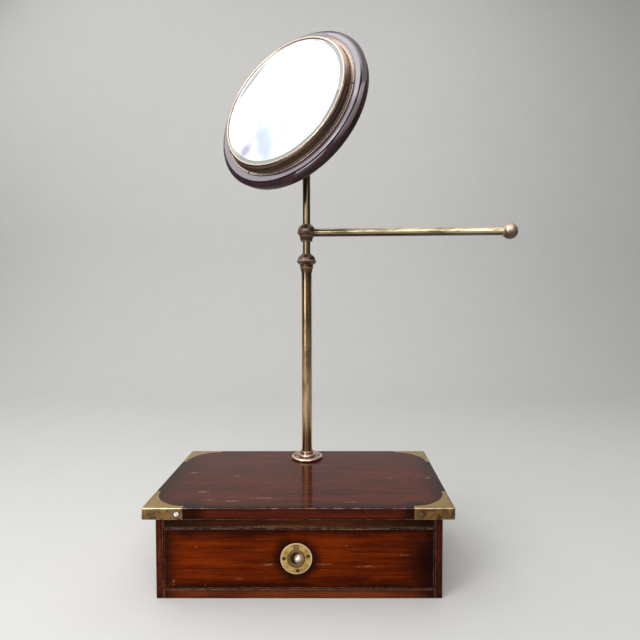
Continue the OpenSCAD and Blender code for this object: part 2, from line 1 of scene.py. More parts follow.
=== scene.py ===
"""Looks of a dressing mirror on a drawer box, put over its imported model.

Every piece is drawn in millimetres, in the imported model's frame: X to the right, -Y toward the
drawer's front, Z up. hand_over() turns a finished piece into metres.
"""
import json
from math import acos, atan2, cos, degrees, pi, radians, sin, sqrt

import bmesh
import bpy
from mathutils import Matrix, Vector


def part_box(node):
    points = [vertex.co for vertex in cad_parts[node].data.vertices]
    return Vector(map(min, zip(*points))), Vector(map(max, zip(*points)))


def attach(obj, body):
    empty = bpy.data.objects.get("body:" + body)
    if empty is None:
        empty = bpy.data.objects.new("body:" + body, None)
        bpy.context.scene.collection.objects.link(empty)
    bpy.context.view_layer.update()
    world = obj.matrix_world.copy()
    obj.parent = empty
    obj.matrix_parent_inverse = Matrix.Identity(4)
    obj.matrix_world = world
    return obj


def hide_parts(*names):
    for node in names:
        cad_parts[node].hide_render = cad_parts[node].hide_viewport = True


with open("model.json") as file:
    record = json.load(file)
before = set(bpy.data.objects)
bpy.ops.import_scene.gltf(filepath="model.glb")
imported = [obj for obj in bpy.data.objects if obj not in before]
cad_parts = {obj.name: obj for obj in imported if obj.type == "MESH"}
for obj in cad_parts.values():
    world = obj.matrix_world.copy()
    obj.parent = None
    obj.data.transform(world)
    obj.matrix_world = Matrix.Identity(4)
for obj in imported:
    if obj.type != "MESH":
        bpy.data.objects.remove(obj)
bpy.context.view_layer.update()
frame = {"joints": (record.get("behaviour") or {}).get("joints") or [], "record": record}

mm = 0.001


# Camera. It stands half a metre in front of the box, a little right of the pole and level with the
# middle of it, and is tipped down by two degrees. The shifts stand for the photograph's crop.
lens = bpy.data.cameras.new("camera")
lens.sensor_width = 36
lens.lens = 27
lens.shift_x = -0.0244
lens.shift_y = -0.0184
camera = bpy.data.objects.new("camera", lens)
camera.location = (0.0361, -0.5410, 0.3063)
camera.rotation_euler = (radians(90 - 2.07), 0, 0)
bpy.context.collection.objects.link(camera)
bpy.context.scene.camera = camera
bpy.context.scene.view_settings.view_transform = "Standard"


# Floor and backdrop. A sheet of pale paper lies on the floor and rises in one sweep behind the
# object. It is a stage, and no part of the object.
def rgb(red, green, blue):
    """A colour as it is seen on a screen, from 0 to 255, made linear."""
    linear = [c / 255 / 12.92 if c < 11 else ((c / 255 + 0.055) / 1.055) ** 2.4 for c in (red, green, blue)]
    return (*linear, 1)


def new_node(tree, kind, values, settings):
    """Makes a node: its settings first, then a value, a link or a list of links for each socket."""
    made = tree.nodes.new(kind)
    for setting, value in settings.items():
        setattr(made, setting, value)
    for socket, given in values.items():
        for value in given if isinstance(given, list) else [given]:
            if isinstance(value, bpy.types.NodeSocket):
                tree.links.new(value, made.inputs[socket])
            else:
                made.inputs[socket].default_value = value
    return made.outputs


class Wire:
    """A value inside a material. A sum or product written with it becomes a Math node."""

    def __init__(self, finish, socket):
        self.finish = finish
        self.socket = socket

    def maths(self, operation, *values):
        return self.finish.node("ShaderNodeMath", dict(enumerate(values)), operation=operation)

    def __rsub__(self, other):
        return self.maths("SUBTRACT", other, self)


def written_as(operation):
    return lambda first, *others: first.maths(operation, first, *others)


for sign, operation in {"__add__": "ADD", "__radd__": "ADD", "__sub__": "SUBTRACT", "__mul__": "MULTIPLY",
                        "__rmul__": "MULTIPLY", "__truediv__": "DIVIDE", "__pow__": "POWER",
                        "__abs__": "ABSOLUTE", "least": "MINIMUM", "most": "MAXIMUM"}.items():
    setattr(Wire, sign, written_as(operation))


class Finish:
    """A procedural material, worked in millimetres on the piece's own coordinates."""

    def __init__(self, name, shader={}):
        self.material = bpy.data.materials.new(name)
        self.material.use_nodes = True
        self.tree = self.material.node_tree
        self.shader = self.tree.nodes["Principled BSDF"]
        for socket, value in shader.items():
            self.shader.inputs[socket].default_value = value
        metres = self.node("ShaderNodeTexCoord", out="Object")
        self.place = self.node("ShaderNodeVectorMath", {"Vector": metres, "Scale": 1 / mm}, operation="SCALE")

    def node(self, kind, values={}, out=0, **settings):
        """Makes a node, with a value or a wire for each socket named, and gives one output's wire."""
        plain = {socket: value.socket if isinstance(value, Wire) else value for socket, value in values.items()}
        return Wire(self, new_node(self.tree, kind, plain, settings)[out])

    def plug(self, **sockets):
        """Links values to the shader's sockets: base_color stands for Base Color, and so on."""
        for socket, value in sockets.items():
            self.tree.links.new(value.socket, self.shader.inputs[socket.replace("_", " ").title()])

    def parts(self, vector):
        split = self.node("ShaderNodeSeparateXYZ", {0: vector}).socket.node
        return [Wire(self, socket) for socket in split.outputs]

    def mix(self, share, first, second):
        return self.node("ShaderNodeMix", {0: share, 6: first, 7: second}, 2, data_type="RGBA")

    def over(self, tone, *coats):
        """Lays coats on a tone in turn, each with the share that it covers and its colour."""
        for share, colour in coats:
            tone = self.mix(share, tone, colour)
        return tone

    def spread(self, value, low, high):
        """Runs smoothly from 0 at low to 1 at high."""
        return self.node("ShaderNodeMapRange", {"Value": value, "From Min": low, "From Max": high},
                         interpolation_type="SMOOTHSTEP")

    def vector(self, operation, *values, out=0):
        return self.node("ShaderNodeVectorMath", dict(enumerate(values)), out, operation=operation)

    def gap(self, spot):
        """How far away a spot is."""
        return self.vector("DISTANCE", self.place, spot, out="Value")

    def stretched(self, size, stretch, seed):
        return self.vector("MULTIPLY_ADD", self.place, tuple(1 / (size * s) for s in stretch),
                           (seed, seed * 1.7, seed * 2.3))

    def clouds(self, size, stretch=(1, 1, 1), seed=0, detail=3, rough=0.55, warp=0):
        """Values about a half, in patches about as large as size times stretch."""
        return self.node("ShaderNodeTexNoise", {"Vector": self.stretched(size, stretch, seed), "Scale": 1,
                         "Detail": detail, "Roughness": rough, "Distortion": warp}, "Fac")

    def marks(self, spacing, size, share, stretch=(1, 1, 1), seed=0):
        """Small scattered marks, 1 in the middle of each, on a share of the cells of a loose grid."""
        cells = {"Vector": self.stretched(spacing, stretch, seed), "Scale": 1}
        texture = self.node("ShaderNodeTexVoronoi", cells, "Distance").socket.node
        distance, colour = Wire(self, texture.outputs["Distance"]), Wire(self, texture.outputs["Color"])
        chosen = self.spread(self.parts(colour)[0], 1 - share, 1 - share + 0.02)
        return self.spread(distance, size / spacing, 0.3 * size / spacing) * chosen

    def relief(self, height):
        """Bumps, their height in millimetres."""
        self.plug(normal=self.node("ShaderNodeBump", {"Height": height, "Distance": mm, "Strength": 1}))


def drawn(name, mesh):
    """An object for a mesh, in the scene."""
    piece = bpy.data.objects.new(name, mesh)
    bpy.context.collection.objects.link(piece)
    return piece


paper_half = 4.0
paper_back = 1.3
paper_turn = 0.5
paper_rise = 3.0
bend = [radians(90 * step / 16) for step in range(17)]
sweep = [(-paper_half, 0.0),
         *[(paper_back - paper_turn + paper_turn * sin(turn), paper_turn - paper_turn * cos(turn)) for turn in bend],
         (paper_back, paper_rise)]
paper_mesh = bpy.data.meshes.new("studio_paper")
paper_mesh.from_pydata(
    [(x, y, z) for x in (-paper_half, paper_half) for y, z in sweep], [],
    [(i, i + len(sweep), i + len(sweep) + 1, i + 1) for i in range(len(sweep) - 1)])
paper_mesh.shade_smooth()
paper = drawn("studio_paper", paper_mesh)
sheet = Finish("studio_paper", {"Roughness": 0.9, "Specular IOR Level": 0.1})
sheet.plug(base_color=sheet.mix(sheet.clouds(60, detail=4), rgb(221, 220, 217), rgb(226, 225, 222)))
paper_mesh.materials.append(sheet.material)


# Lamps. Four soft boxes: a tall one at the front left draws the highlight down the pole, one above
# the camera and a large one overhead draw those along the arm, and one high on the left fills the mirror.
def softbox(name, place, aim, width, height, radiance):
    light = bpy.data.lights.new(name, "AREA")
    light.shape = "RECTANGLE"
    light.size, light.size_y = width, height
    light.energy = radiance * pi * width * height
    lamp = bpy.data.objects.new(name, light)
    lamp.location = place
    lamp.rotation_euler = (Vector(aim) - Vector(place)).to_track_quat("-Z", "Y").to_euler()
    lamp.visible_camera = False
    bpy.context.collection.objects.link(lamp)


softbox("pole_softbox", (-0.54, -0.66, 0.60), (0.0, 0.05, 0.34), 0.36, 1.05, 3.5)
softbox("arm_softbox", (0.15, -1.30, 1.22), (0.05, 0.0, 0.38), 1.5, 1.55, 1.65)
softbox("mirror_softbox", (-1.10, 0.00, 1.64), (-0.02, 0.02, 0.45), 2.2, 1.8, 1.35)
softbox("top_softbox", (0.25, -0.10, 1.60), (0.15, 0.0, 0.2), 1.8, 1.5, 0.95)
world = bpy.data.worlds.new("room")
world.use_nodes = True
world.node_tree.nodes["Background"].inputs["Color"].default_value = (0.07, 0.073, 0.077, 1)
bpy.context.scene.world = world


# Case. Two sides, a back, a bottom and the rail above the drawer, all of solid mahogany, glued and
# pinned. The outside edges are worn round, and along them the wood is painted pale, part wear and part
# painted highlight. Toward their edges and ends the boards are painted darker, a painted shade.
def span(*nodes):
    """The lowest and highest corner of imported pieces, in millimetres."""
    boxes = [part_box(node) for node in nodes]
    return (Vector([min(low[i] for low, high in boxes) for i in range(3)]) / mm,
            Vector([max(high[i] for low, high in boxes) for i in range(3)]) / mm)


def remade(piece):
    """Turns a piece and its modifiers into a plain mesh."""
    graph = bpy.context.evaluated_depsgraph_get()
    mesh = bpy.data.meshes.new_from_object(piece.evaluated_get(graph), preserve_all_data_layers=True,
                                           depsgraph=graph)
    spent = piece.data
    piece.modifiers.clear()
    piece.data = mesh
    bpy.data.meshes.remove(spent)
    return piece


def block(name, low, high, round_edge=0.0, steps=2):
    """A board between two corners, with its edges rounded."""
    mesh = bpy.data.meshes.new(name)
    form = bmesh.new()
    bmesh.ops.create_cube(form, size=1)
    for vertex in form.verts:
        vertex.co = Vector([high[i] if vertex.co[i] > 0 else low[i] for i in range(3)])
    if round_edge:
        bmesh.ops.bevel(form, geom=form.edges[:], offset=round_edge, segments=steps, profile=0.5, affect="EDGES")
    form.to_mesh(mesh)
    form.free()
    return drawn(name, mesh)


def hand_over(piece, finish, *nodes, crease=35):
    """Gives a finished piece its material, turns it into metres and puts it in its nodes' place."""
    mesh = piece.data
    mesh.transform(Matrix.Scale(mm, 4))
    mesh.shade_smooth()
    mesh.set_sharp_from_angle(angle=radians(crease))
    mesh.materials.clear()
    mesh.materials.append(finish.material)
    mesh.polygons.foreach_set("material_index", [0] * len(mesh.polygons))
    bodies = frame["record"]["behaviour"]["bodies"]
    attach(piece, next(body for body, held in bodies.items() if nodes[0] in held))
    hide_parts(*nodes)
    next(s["material_slot"] for s in frame["record"]["subparts"] if s["node"] == nodes[0])


def edge_distance(finish, low, high, reach_low=(1, 1, 1), reach_high=(1, 1, 1)):
    """On a board's face, how far its nearest edge is, as a share of the reach on that side."""
    near = []
    for i, value in enumerate(finish.parts(finish.place)):
        near.append(((value - low[i]) / reach_low[i]).least((high[i] - value) / reach_high[i]))
    return near[0].least(near[1]).most(near[0].most(near[1]).least(near[2]))


def lengthwise(axis, times):
    """The stretch of a pattern that is drawn out along an axis."""
    return [times if i == axis else 1 for i in range(3)]


def mahogany(name, low, high, grain=0, light=rgb(118, 48, 16), dark=rgb(74, 24, 8), reach=((8, 8, 8), (8, 8, 8)),
             shade=rgb(26, 8, 3), rub=rgb(176, 130, 98), rubbed=0.5, gloss=0.16, seed=0, lacquer=None, grubby=(),
             knocks=()):
    """Old french polish on mahogany, for a board between two corners, with its grain along an axis.
    Reach gives how far in from each side the wood is painted darker toward its edges, a painted shade.
    Lacquer is the height above which the polish is thick. Dirt and shade spots holds places, each with two
    distances from it between which a painted darkening thins out: the dirt of hands round a pull, and
    painted shade elsewhere. Knocks are worn spots, a middle and half its size; the long ones along an edge
    are partly painted highlights. Worn edges take a pale colour, part wear and part painted highlight."""
    wood = Finish(name, {"Specular IOR Level": 0.02, "Coat IOR": 1.5, "Coat Roughness": gloss})
    along, short = lengthwise(grain, 24), lengthwise(grain, 9)
    streaks = wood.clouds(5.0, along, seed, 5, 0.6, 0.12)
    fine = wood.clouds(1.3, along, seed + 2, 3, 0.6, 0.2)
    cloudy = wood.clouds(42, [1 + s / 20 for s in along], seed + 3, 2)
    pores = wood.spread(wood.clouds(0.55, short, seed + 5, 2), 0.60, 0.70)
    flecks = wood.spread(wood.clouds(1.1, short, seed + 8, 2), 0.56, 0.72)
    smoke = wood.clouds(26, seed=seed + 11) - 0.5
    rim = edge_distance(wood, low, high, *reach)
    tone = wood.mix(wood.spread(streaks * 0.45 + cloudy * 0.25 + fine * 0.3, 0.35, 0.65), dark, light)
    # Pores darken the grain. Within the reach of each edge the wood is painted darker, a painted shade, and it is
    # painted darker round each spot: dirt of hands round a pull, painted shade elsewhere.
    tone = wood.over(tone, (flecks * 0.3, light), (pores * 0.6, shade),
                     (wood.spread(rim + smoke * 0.9, 1.1, 0.0) * 0.88, shade),
                     *[(wood.spread(wood.gap(spot) + smoke * 14, far, near) * 0.85, shade)
                       for spot, near, far in grubby])
    patchy = wood.clouds(9, seed=seed + 13, detail=4, rough=0.65)
    edge = edge_distance(wood, low, high)
    polish = wood.spread(edge, 1.8, 0.8) * 0.4 + 0.03
    if lacquer:
        polish = polish.most(wood.spread(wood.parts(wood.place)[2], lacquer - 0.6, lacquer - 0.1) * 0.46)
    nicks = wood.marks(34, 1.5, 0.3, (1.6, 1, 1), seed + 17) + wood.marks(22, 0.8, 0.35, (1, 1, 1), seed + 19)
    if knocks:
        crumbs = (wood.clouds(0.8, (2, 2, 1), seed + 21, 3, 0.7) - 0.5) * 5
    for middle, half in knocks:
        away = wood.vector("DIVIDE", wood.vector("SUBTRACT", wood.place, middle), half)
        nicks = nicks.most(wood.spread(wood.vector("LENGTH", away, out="Value") + crumbs, 0.9, 0.3))
    scuff = wood.spread(wood.clouds(0.7, (5, 5, 5), seed + 23, 4), 0.69, 0.75)
    # Worn edges and knocks are painted pale: wear, and along the edges partly a painted highlight.
    worn = (wood.spread(edge + (patchy - 0.5) * 2.4, 0.9, 0.1) * rubbed).most(nicks * 0.42)
    wood.plug(base_color=wood.mix(worn, tone, rub), coat_weight=polish,
              roughness=gloss + (cloudy - 0.5) * 0.08 + worn * 0.45 + pores * 0.1 + scuff * 0.1)
    wood.relief(pores * -0.02 + streaks * 0.012 + nicks * -0.05 + patchy * 0.05)
    return wood


def polished_board(node, grain, round_edge, **looks):
    """A whole board of the case, cut to its node's box."""
    low, high = span(node)
    hand_over(block(node + "_board", low, high, round_edge), mahogany(node, low, high, grain, **looks), node)


# The right side's tones are darker than the left's, a painted shade on the side turned from the lamps.
for node, grain, seed, light, dark in (("case_side_left", 1, 2.0, rgb(136, 58, 18), rgb(80, 26, 6)),
                                       ("case_side_right", 1, 7.0, rgb(98, 36, 8), rgb(54, 16, 2)),
                                       ("case_back", 0, 12.0, rgb(122, 52, 18), rgb(70, 24, 6))):
    polished_board(node, grain, 0.7, seed=seed, light=light, dark=dark, reach=((5, 6, 10), (5, 6, 10)),
                   rubbed=0.2, gloss=0.25)
polished_board("case_bottom", 0, 0.5, seed=17.0, light=rgb(124, 60, 26), reach=((30, 6, 2), (30, 6, 3)),
               rubbed=0.3, gloss=0.3)
rail_low = span("case_rail")[0]
# The rail is painted darker toward both ends, most toward the right, a painted shade. The knock along its lower edge
# is a pale line, part wear and part painted highlight.
polished_board("case_rail", 0, 0.5, seed=21.0, light=rgb(98, 52, 24), dark=rgb(50, 22, 10),
               reach=((70, 6, 3), (110, 6, 3)), rubbed=0.4, gloss=0.22, rub=rgb(150, 112, 66),
               knocks=[((-20, rail_low.y, rail_low.z + 1.2), (62, 2, 1.2))])


# Top board and its corners. A plain mahogany board with rounded edges. A cast brass mount is let in
# flush at each corner, held by two countersunk screws in each of its two edges.
corner_leg = 40
corner_tip = 5
corner_thick = 1.6
corner_screws_at = (10, corner_leg - 6)
seam = 0.07
board_edge = 1.5
countersink_r = 2.3
shank_r = 1.1
board_low, board_high = span("top_board", "corner_front_left", "corner_back_right")
board_thick = board_high.z - board_low.z
proud = 3


def shift(x, y, z):
    return Matrix.Translation((x, y, z))


def spin(angle, axis="Z"):
    return Matrix.Rotation(radians(angle), 4, axis)


def prism(name, outline, low, high):
    """A solid with an outline in X and Y, between two heights."""
    form = bmesh.new()
    face = form.faces.new([form.verts.new((x, y, low)) for x, y in outline])
    wall = bmesh.ops.extrude_face_region(form, geom=[face])["geom"]
    bmesh.ops.translate(form, verts=[v for v in wall if isinstance(v, bmesh.types.BMVert)], vec=(0, 0, high - low))
    bmesh.ops.recalc_face_normals(form, faces=form.faces[:])
    mesh = bpy.data.meshes.new(name)
    form.to_mesh(mesh)
    form.free()
    return drawn(name, mesh)


def carve(piece, *cutters, operation="DIFFERENCE"):
    """Cuts, joins or crosses a piece with others, which are used up."""
    for cutter in cutters:
        tool = piece.modifiers.new("carve", "BOOLEAN")
        tool.solver = "EXACT"
        tool.operation = operation
        tool.object = cutter
        remade(piece)
        spent = cutter.data
        bpy.data.objects.remove(cutter)
        bpy.data.meshes.remove(spent)
    return piece


def softened(piece, width, steps=2, angle=30):
    """Takes the sharpness off every edge of a piece."""
    bevel = piece.modifiers.new("soft_edge", "BEVEL")
    bevel.width = width
    bevel.segments = steps
    bevel.limit_method = "ANGLE"
    bevel.angle_limit = radians(angle)
    return remade(piece)


def merged(piece):
    """Joins points that lie together and turns every face outward."""
    form = bmesh.new()
    form.from_mesh(piece.data)
    bmesh.ops.remove_doubles(form, verts=form.verts[:], dist=0.002)
    bmesh.ops.recalc_face_normals(form, faces=form.faces[:])
    form.to_mesh(piece.data)
    form.free()
    return piece


def placed(piece, place):
    """Moves a piece's mesh, keeping its faces outward where the place mirrors it."""
    piece.data.transform(place)
    if place.determinant() < 0:
        piece.data.flip_normals()
    return piece


def corner_place(sx, sy):
    """Takes a corner drawn toward +X, +Y and -Z to one corner of the top board."""
    return shift(board_high.x * sx, board_high.y * sy, board_high.z) @ Matrix.Diagonal((-sx, -sy, 1, 1))


def corner_form(name, play):
    """The room that a mount takes at its corner, and a little beyond the board's faces."""
    inner_r = corner_leg - corner_tip - play
    end = corner_leg + play
    strip = corner_thick + play
    turns = [radians(270 - 90 * step / 32) for step in range(33)]
    inner = [(corner_leg + inner_r * cos(turn), corner_leg + inner_r * sin(turn)) for turn in turns]
    outline = [(-proud, -proud), (end, -proud), (end, inner[0][1]), *inner[1:-1], (inner[-1][0], end), (-proud, end)]
    legs = [block("leg", (-proud, -proud, -board_thick - proud), (end, strip, proud / 2)),
            block("leg", (-proud, -proud, -board_thick - proud), (strip, end, proud / 2))]
    return carve(prism(name, outline, -strip, proud), *legs, operation="UNION")


def new_tree(name, **inputs):
    """Starts a Geometry Nodes tree and gives its inputs: head_radius is Head radius, and so on."""
    tree = bpy.data.node_groups.new(name, "GeometryNodeTree")
    for key, kind in inputs.items():
        tree.interface.new_socket(key.capitalize().replace("_", " "), in_out="INPUT", socket_type="NodeSocket" + kind)
    tree.interface.new_socket("Piece", in_out="OUTPUT", socket_type="NodeSocketGeometry")
    return tree, tree.nodes.new("NodeGroupInput").outputs


def grown(tree, kind, values={}, **settings):
    """Makes a node in a tree and gives its first output."""
    outputs = new_node(tree, kind, values, settings)
    return outputs[0] if outputs else None


def closed_off(tree, shape, finish):
    """Ends a tree: instances made real, the finish set."""
    real = grown(tree, "GeometryNodeRealizeInstances", {0: shape})
    grown(tree, "NodeGroupOutput", {0: grown(tree, "GeometryNodeSetMaterial", {"Geometry": real, "Material": finish})})


lathe, start = new_tree("lathe", profile="Geometry", steps_round="Int", finish="Material")
outline = grown(lathe, "GeometryNodeMeshToCurve", {0: start["Profile"]})
spindle = grown(lathe, "GeometryNodeCurvePrimitiveCircle", {"Resolution": start["Steps round"], "Radius": 0.001})
swept = grown(lathe, "GeometryNodeCurveToMesh", {"Curve": spindle, "Profile Curve": outline})
joined = grown(lathe, "GeometryNodeMergeByDistance", {"Geometry": swept, "Distance": 0.004})
closed_off(lathe, joined, start["Finish"])


def worked(piece, tree, **sizes):
    """Runs a Geometry Nodes tree on a piece: steps_round stands for Steps round, and so on."""
    tool = piece.modifiers.new(tree.name, "NODES")
    tool.node_group = tree
    for socket in tree.interface.items_tree:
        key = socket.name.lower().replace(" ", "_")
        if socket.in_out == "INPUT" and key in sizes:
            tool[socket.identifier] = sizes[key]
    return remade(piece)


def turned(name, profile, place=Matrix(), finish=None, steps=96, ring=False):
    """A lathe-turned solid. The profile is (radius, height) points; a ring's profile closes on itself."""
    mesh = bpy.data.meshes.new(name)
    count = len(profile)
    joins = [(i, (i + 1) % count) for i in range(count if ring else count - 1)]
    mesh.from_pydata([(radius, -height, 0) for radius, height in profile], joins, [])
    piece = worked(drawn(name, mesh), lathe, steps_round=steps, finish=finish.material if finish else None)
    return placed(merged(piece), place)


def arc(centre, radius, first, last, steps=8):
    """Points on an arc in a profile, from one angle to another."""
    turns = [radians(first + (last - first) * i / steps) for i in range(steps + 1)]
    return [(centre[0] + radius * cos(t), centre[1] + radius * sin(t)) for t in turns]


def drilled(piece, places, head_r, neck_r, depth):
    """Cuts the hole for a countersunk screw at each place, where the screw's head lies at height 0."""
    cone = head_r - neck_r
    profile = [(0, 1), (head_r + 1, 1), (head_r, 0), (neck_r, -cone), (neck_r, -depth), (0, -depth)]
    return carve(piece, *[placed(turned("countersink", profile, steps=32), place) for place in places])


def cast_brass(name, gold, screws):
    """Cast sheet brass gone tan and olive, with rubbed edges that are partly painted highlights, top faces painted
    lighter as a painted highlight, and dirt in every seam and round its screws.
    """
    brass = Finish(name)
    seed = 3.0 * gold
    stain = brass.clouds(7, seed=seed, detail=5, rough=0.62, warp=0.6)
    bloom = brass.clouds(16, seed=seed + 4)
    pits = brass.spread(brass.clouds(0.9, seed=seed + 9), 0.63, 0.74)
    base = tuple(a + (b - a) * gold for a, b in zip(rgb(146, 112, 66), rgb(132, 98, 48)))
    # Faces at the top of the board are painted lighter, a painted highlight. Near the edges the brass is painted pale
    # cream, part rubbed brass and part painted highlight.
    level = brass.parts(brass.place)[2] + (bloom - 0.5) * 0.6
    edge = edge_distance(brass, board_low, board_high)
    rub = brass.spread(edge + (stain - 0.5) * 1.6, 1.0, 0.2)
    grime = brass.spread(edge, 5.0, 1.2) * brass.spread(bloom, 0.4, 0.6) * (1 - rub)
    for screw in screws:
        ring = abs(brass.gap(screw) - countersink_r - 0.4) + (stain - 0.5) * 1.5
        grime = grime.most(brass.spread(ring, 1.3, 0.3) * 1.6)
    tone = brass.over(base, (brass.spread(stain, 0.44, 0.62), rgb(84, 58, 30)),
                      (brass.spread(bloom, 0.46, 0.7) * 0.5, rgb(128, 96, 84)), (pits * 0.65, rgb(48, 34, 22)),
                      (brass.spread(level, board_high.z - 0.9, board_high.z - 0.3) * 0.75, rgb(206, 174, 118)),
                      (rub * 0.85, rgb(250, 230, 196)), (grime * 0.45, rgb(70, 48, 30)))
    brass.plug(base_color=tone, metallic=0.92 - pits * 0.4 - grime * 0.25,
               roughness=0.36 + (stain - 0.5) * 0.25 - rub * 0.1 + pits * 0.2)
    brass.relief(stain * 0.05 + pits * -0.03)
    return brass


facing_front = spin(90, "X")
facing_left = spin(-90, "Y")
mount_screw_places = [place for along in corner_screws_at for place in (
    shift(along, 0, -board_thick / 2) @ facing_front, shift(0, along, -board_thick / 2) @ facing_left)]
board = block("top_board_mahogany", board_low, board_high, board_edge, 4)
blank = block("corner_blank", board_low, board_high, board_edge, 4)
mount_screws = []
for name, sx, sy, gold, slots_at in (("front_left", -1, -1, 0.0, (20, 65, 110, 150)),
                                     ("front_right", 1, -1, 1.0, (122, 130, 118, 40)),
                                     ("back_left", -1, 1, 0.6, (75, 55, 160, 120)),
                                     ("back_right", 1, 1, 0.3, (30, 85, 140, 5))):
    corner = corner_place(sx, sy)
    heads = [corner @ place for place in mount_screw_places]
    mount = drawn("corner_mount_" + name, blank.data.copy())
    carve(mount, placed(corner_form("mount_room", 0), corner), operation="INTERSECT")
    softened(mount, 0.14, 1, 50)
    carve(board, placed(corner_form("mount_room", seam), corner))
    drilled(mount, heads, countersink_r + 0.05, shank_r + 0.1, 8)
    mount_brass = cast_brass("corner_brass_" + name, gold, [head.to_translation() for head in heads])
    hand_over(mount, mount_brass, "corner_" + name)
    for head, slot_at in zip(heads, slots_at):
        facing = (head @ spin(slot_at)).to_3x3()
        if facing.determinant() < 0:
            facing = facing @ Matrix.Diagonal((1, -1, 1))
        mount_screws.append(Matrix.Translation(head.to_translation()) @ facing.to_4x4())
bpy.data.objects.remove(blank)

softened(board, 0.1, 1, 50)
top_knocks = ((-76, -3, 4, 1.3), (-91, -65, 8, 1.3), (-68, -68, 10, 1.2), (-37, -61, 14, 1.2), (140, -8, 3, 3),
              (-128, 7, 5, 1.5), (-103, -46, 6, 2.2), (52, -70, 9, 1))
# The top is painted darker toward its ends and beside the front corner mounts, a painted shade. Its worn edges are
# painted a pale lilac pink, part wear and part a painted reflection along the rounded front edge.
top_polish = mahogany("top_polish", board_low, board_high, seed=31.0, light=rgb(98, 36, 18), dark=rgb(58, 20, 9),
                      reach=((26, 14, 4), (26, 10, 4)), rub=rgb(190, 150, 136), gloss=0.13,
                      grubby=(((-112, board_low.y - 4, 90), 12, 30), ((116, board_low.y - 4, 90), 8, 24)),
                      lacquer=board_high.z,
                      knocks=[((x, y, board_high.z), (half_x, half_y, 1)) for x, y, half_x, half_y in top_knocks])
pole_axis = (span("lower_tube")[0] + span("lower_tube")[1]) / 2
flange_screw_out = (span("flange_screws")[1].x - span("flange_screws")[0].x) / 2 - countersink_r
drilled(board, [shift(side * flange_screw_out, pole_axis.y, board_high.z) for side in (-1, 1)],
        shank_r + 0.1, shank_r + 0.1, 9)
hand_over(board, top_polish, "top_board")


def sum_of(tree, first, operation, second):
    return grown(tree, "ShaderNodeMath", {0: first, 1: second}, operation=operation)


def moved_up(tree, shape, height):
    move = grown(tree, "ShaderNodeCombineXYZ", {"Z": height})
    return grown(tree, "GeometryNodeTransform", {"Geometry": shape, "Translation": move})


screws, start = new_tree("countersunk_screws", places="Geometry", head_radius="Float", shank_radius="Float",
                         length="Float", slot_width="Float", slot_depth="Float", finish="Material")
cone_depth = sum_of(screws, start["Head radius"], "SUBTRACT", start["Shank radius"])
head = grown(screws, "GeometryNodeMeshCone", {"Vertices": 36, "Radius Top": start["Head radius"],
             "Radius Bottom": start["Shank radius"], "Depth": cone_depth})
shank = grown(screws, "GeometryNodeMeshCylinder", {"Vertices": 20, "Radius": start["Shank radius"],
              "Depth": start["Length"]})
shank_mid = sum_of(screws, sum_of(screws, start["Length"], "MULTIPLY", -0.5), "SUBTRACT",
                   sum_of(screws, cone_depth, "MULTIPLY", 0.5))
whole = grown(screws, "GeometryNodeMeshBoolean", {"Mesh 2": [
    moved_up(screws, head, sum_of(screws, cone_depth, "MULTIPLY", -1.0)), moved_up(screws, shank, shank_mid)]},
    operation="UNION", solver="EXACT")
slot_size = grown(screws, "ShaderNodeCombineXYZ", {"X": sum_of(screws, start["Head radius"], "MULTIPLY", 3.0),
                  "Y": start["Slot width"], "Z": sum_of(screws, start["Slot depth"], "MULTIPLY", 2.0)})
slotted = grown(screws, "GeometryNodeMeshBoolean",
                {"Mesh 1": whole, "Mesh 2": grown(screws, "GeometryNodeMeshCube", {"Size": slot_size})},
                operation="DIFFERENCE", solver="EXACT")
turn = grown(screws, "GeometryNodeInputNamedAttribute", {"Name": "turn"}, data_type="FLOAT_VECTOR")
driven = grown(screws, "GeometryNodeInstanceOnPoints", {"Points": start["Places"], "Instance": slotted,
               "Rotation": grown(screws, "FunctionNodeEulerToRotation", {0: turn})})
closed_off(screws, driven, start["Finish"])


def drive_screws(name, node, places, finish, head_r, neck_r, length, slot=(0.7, 0.6), soft=0.12):
    """Drives screws at several places, each turned as its place says, and hands them over as a node."""
    mesh = bpy.data.meshes.new(name)
    mesh.from_pydata([place.to_translation() for place in places], [], [])
    turns = mesh.attributes.new("turn", "FLOAT_VECTOR", "POINT")
    turns.data.foreach_set("vector", [angle for place in places for angle in place.to_euler()])
    piece = worked(drawn(name, mesh), screws, head_radius=head_r, shank_radius=neck_r, length=length,
                   slot_width=slot[0], slot_depth=slot[1], finish=finish.material)
    hand_over(softened(piece, soft, 2, 40), finish, node)


def screw_metal(name, tone, spark=None, seed=0.0):
    """Old screws gone dull. A spark is the place of one new bright screw among them, whose slot is painted dark, a
    painted shade.
    """
    metal = Finish(name)
    film = metal.clouds(1.6, seed=seed, detail=4)
    colour = metal.mix(metal.spread(film, 0.35, 0.75) * 0.6, tone, rgb(44, 34, 26))
    shine = 0.85 - film * 0.3
    if spark:
        new = metal.spread(metal.gap(spark), 4.2, 3.8)
        bright = metal.mix(metal.spread(film, 0.45, 0.7), rgb(255, 254, 250), rgb(206, 200, 190))
        # The new screw's slot is painted dark, a painted shade.
        painted_slot_shade = metal.spread(metal.parts(metal.place)[1], spark[1] + 0.08, spark[1] + 0.3) * new
        colour = metal.over(colour, (new, bright), (painted_slot_shade * 0.85, rgb(60, 48, 36)))
        shine = shine * (1 - new * 0.8)
    metal.plug(base_color=colour, metallic=shine, roughness=0.42 + (film - 0.5) * 0.3)
    metal.relief(film * 0.02)
    return metal


new_screw = (board_low.x + corner_screws_at[1], board_low.y, board_low.z + board_thick / 2)
drive_screws("mount_screws", "corner_screws", mount_screws,
             screw_metal("mount_screw_brass", rgb(124, 92, 58), new_screw), countersink_r, shank_r, 6.6)


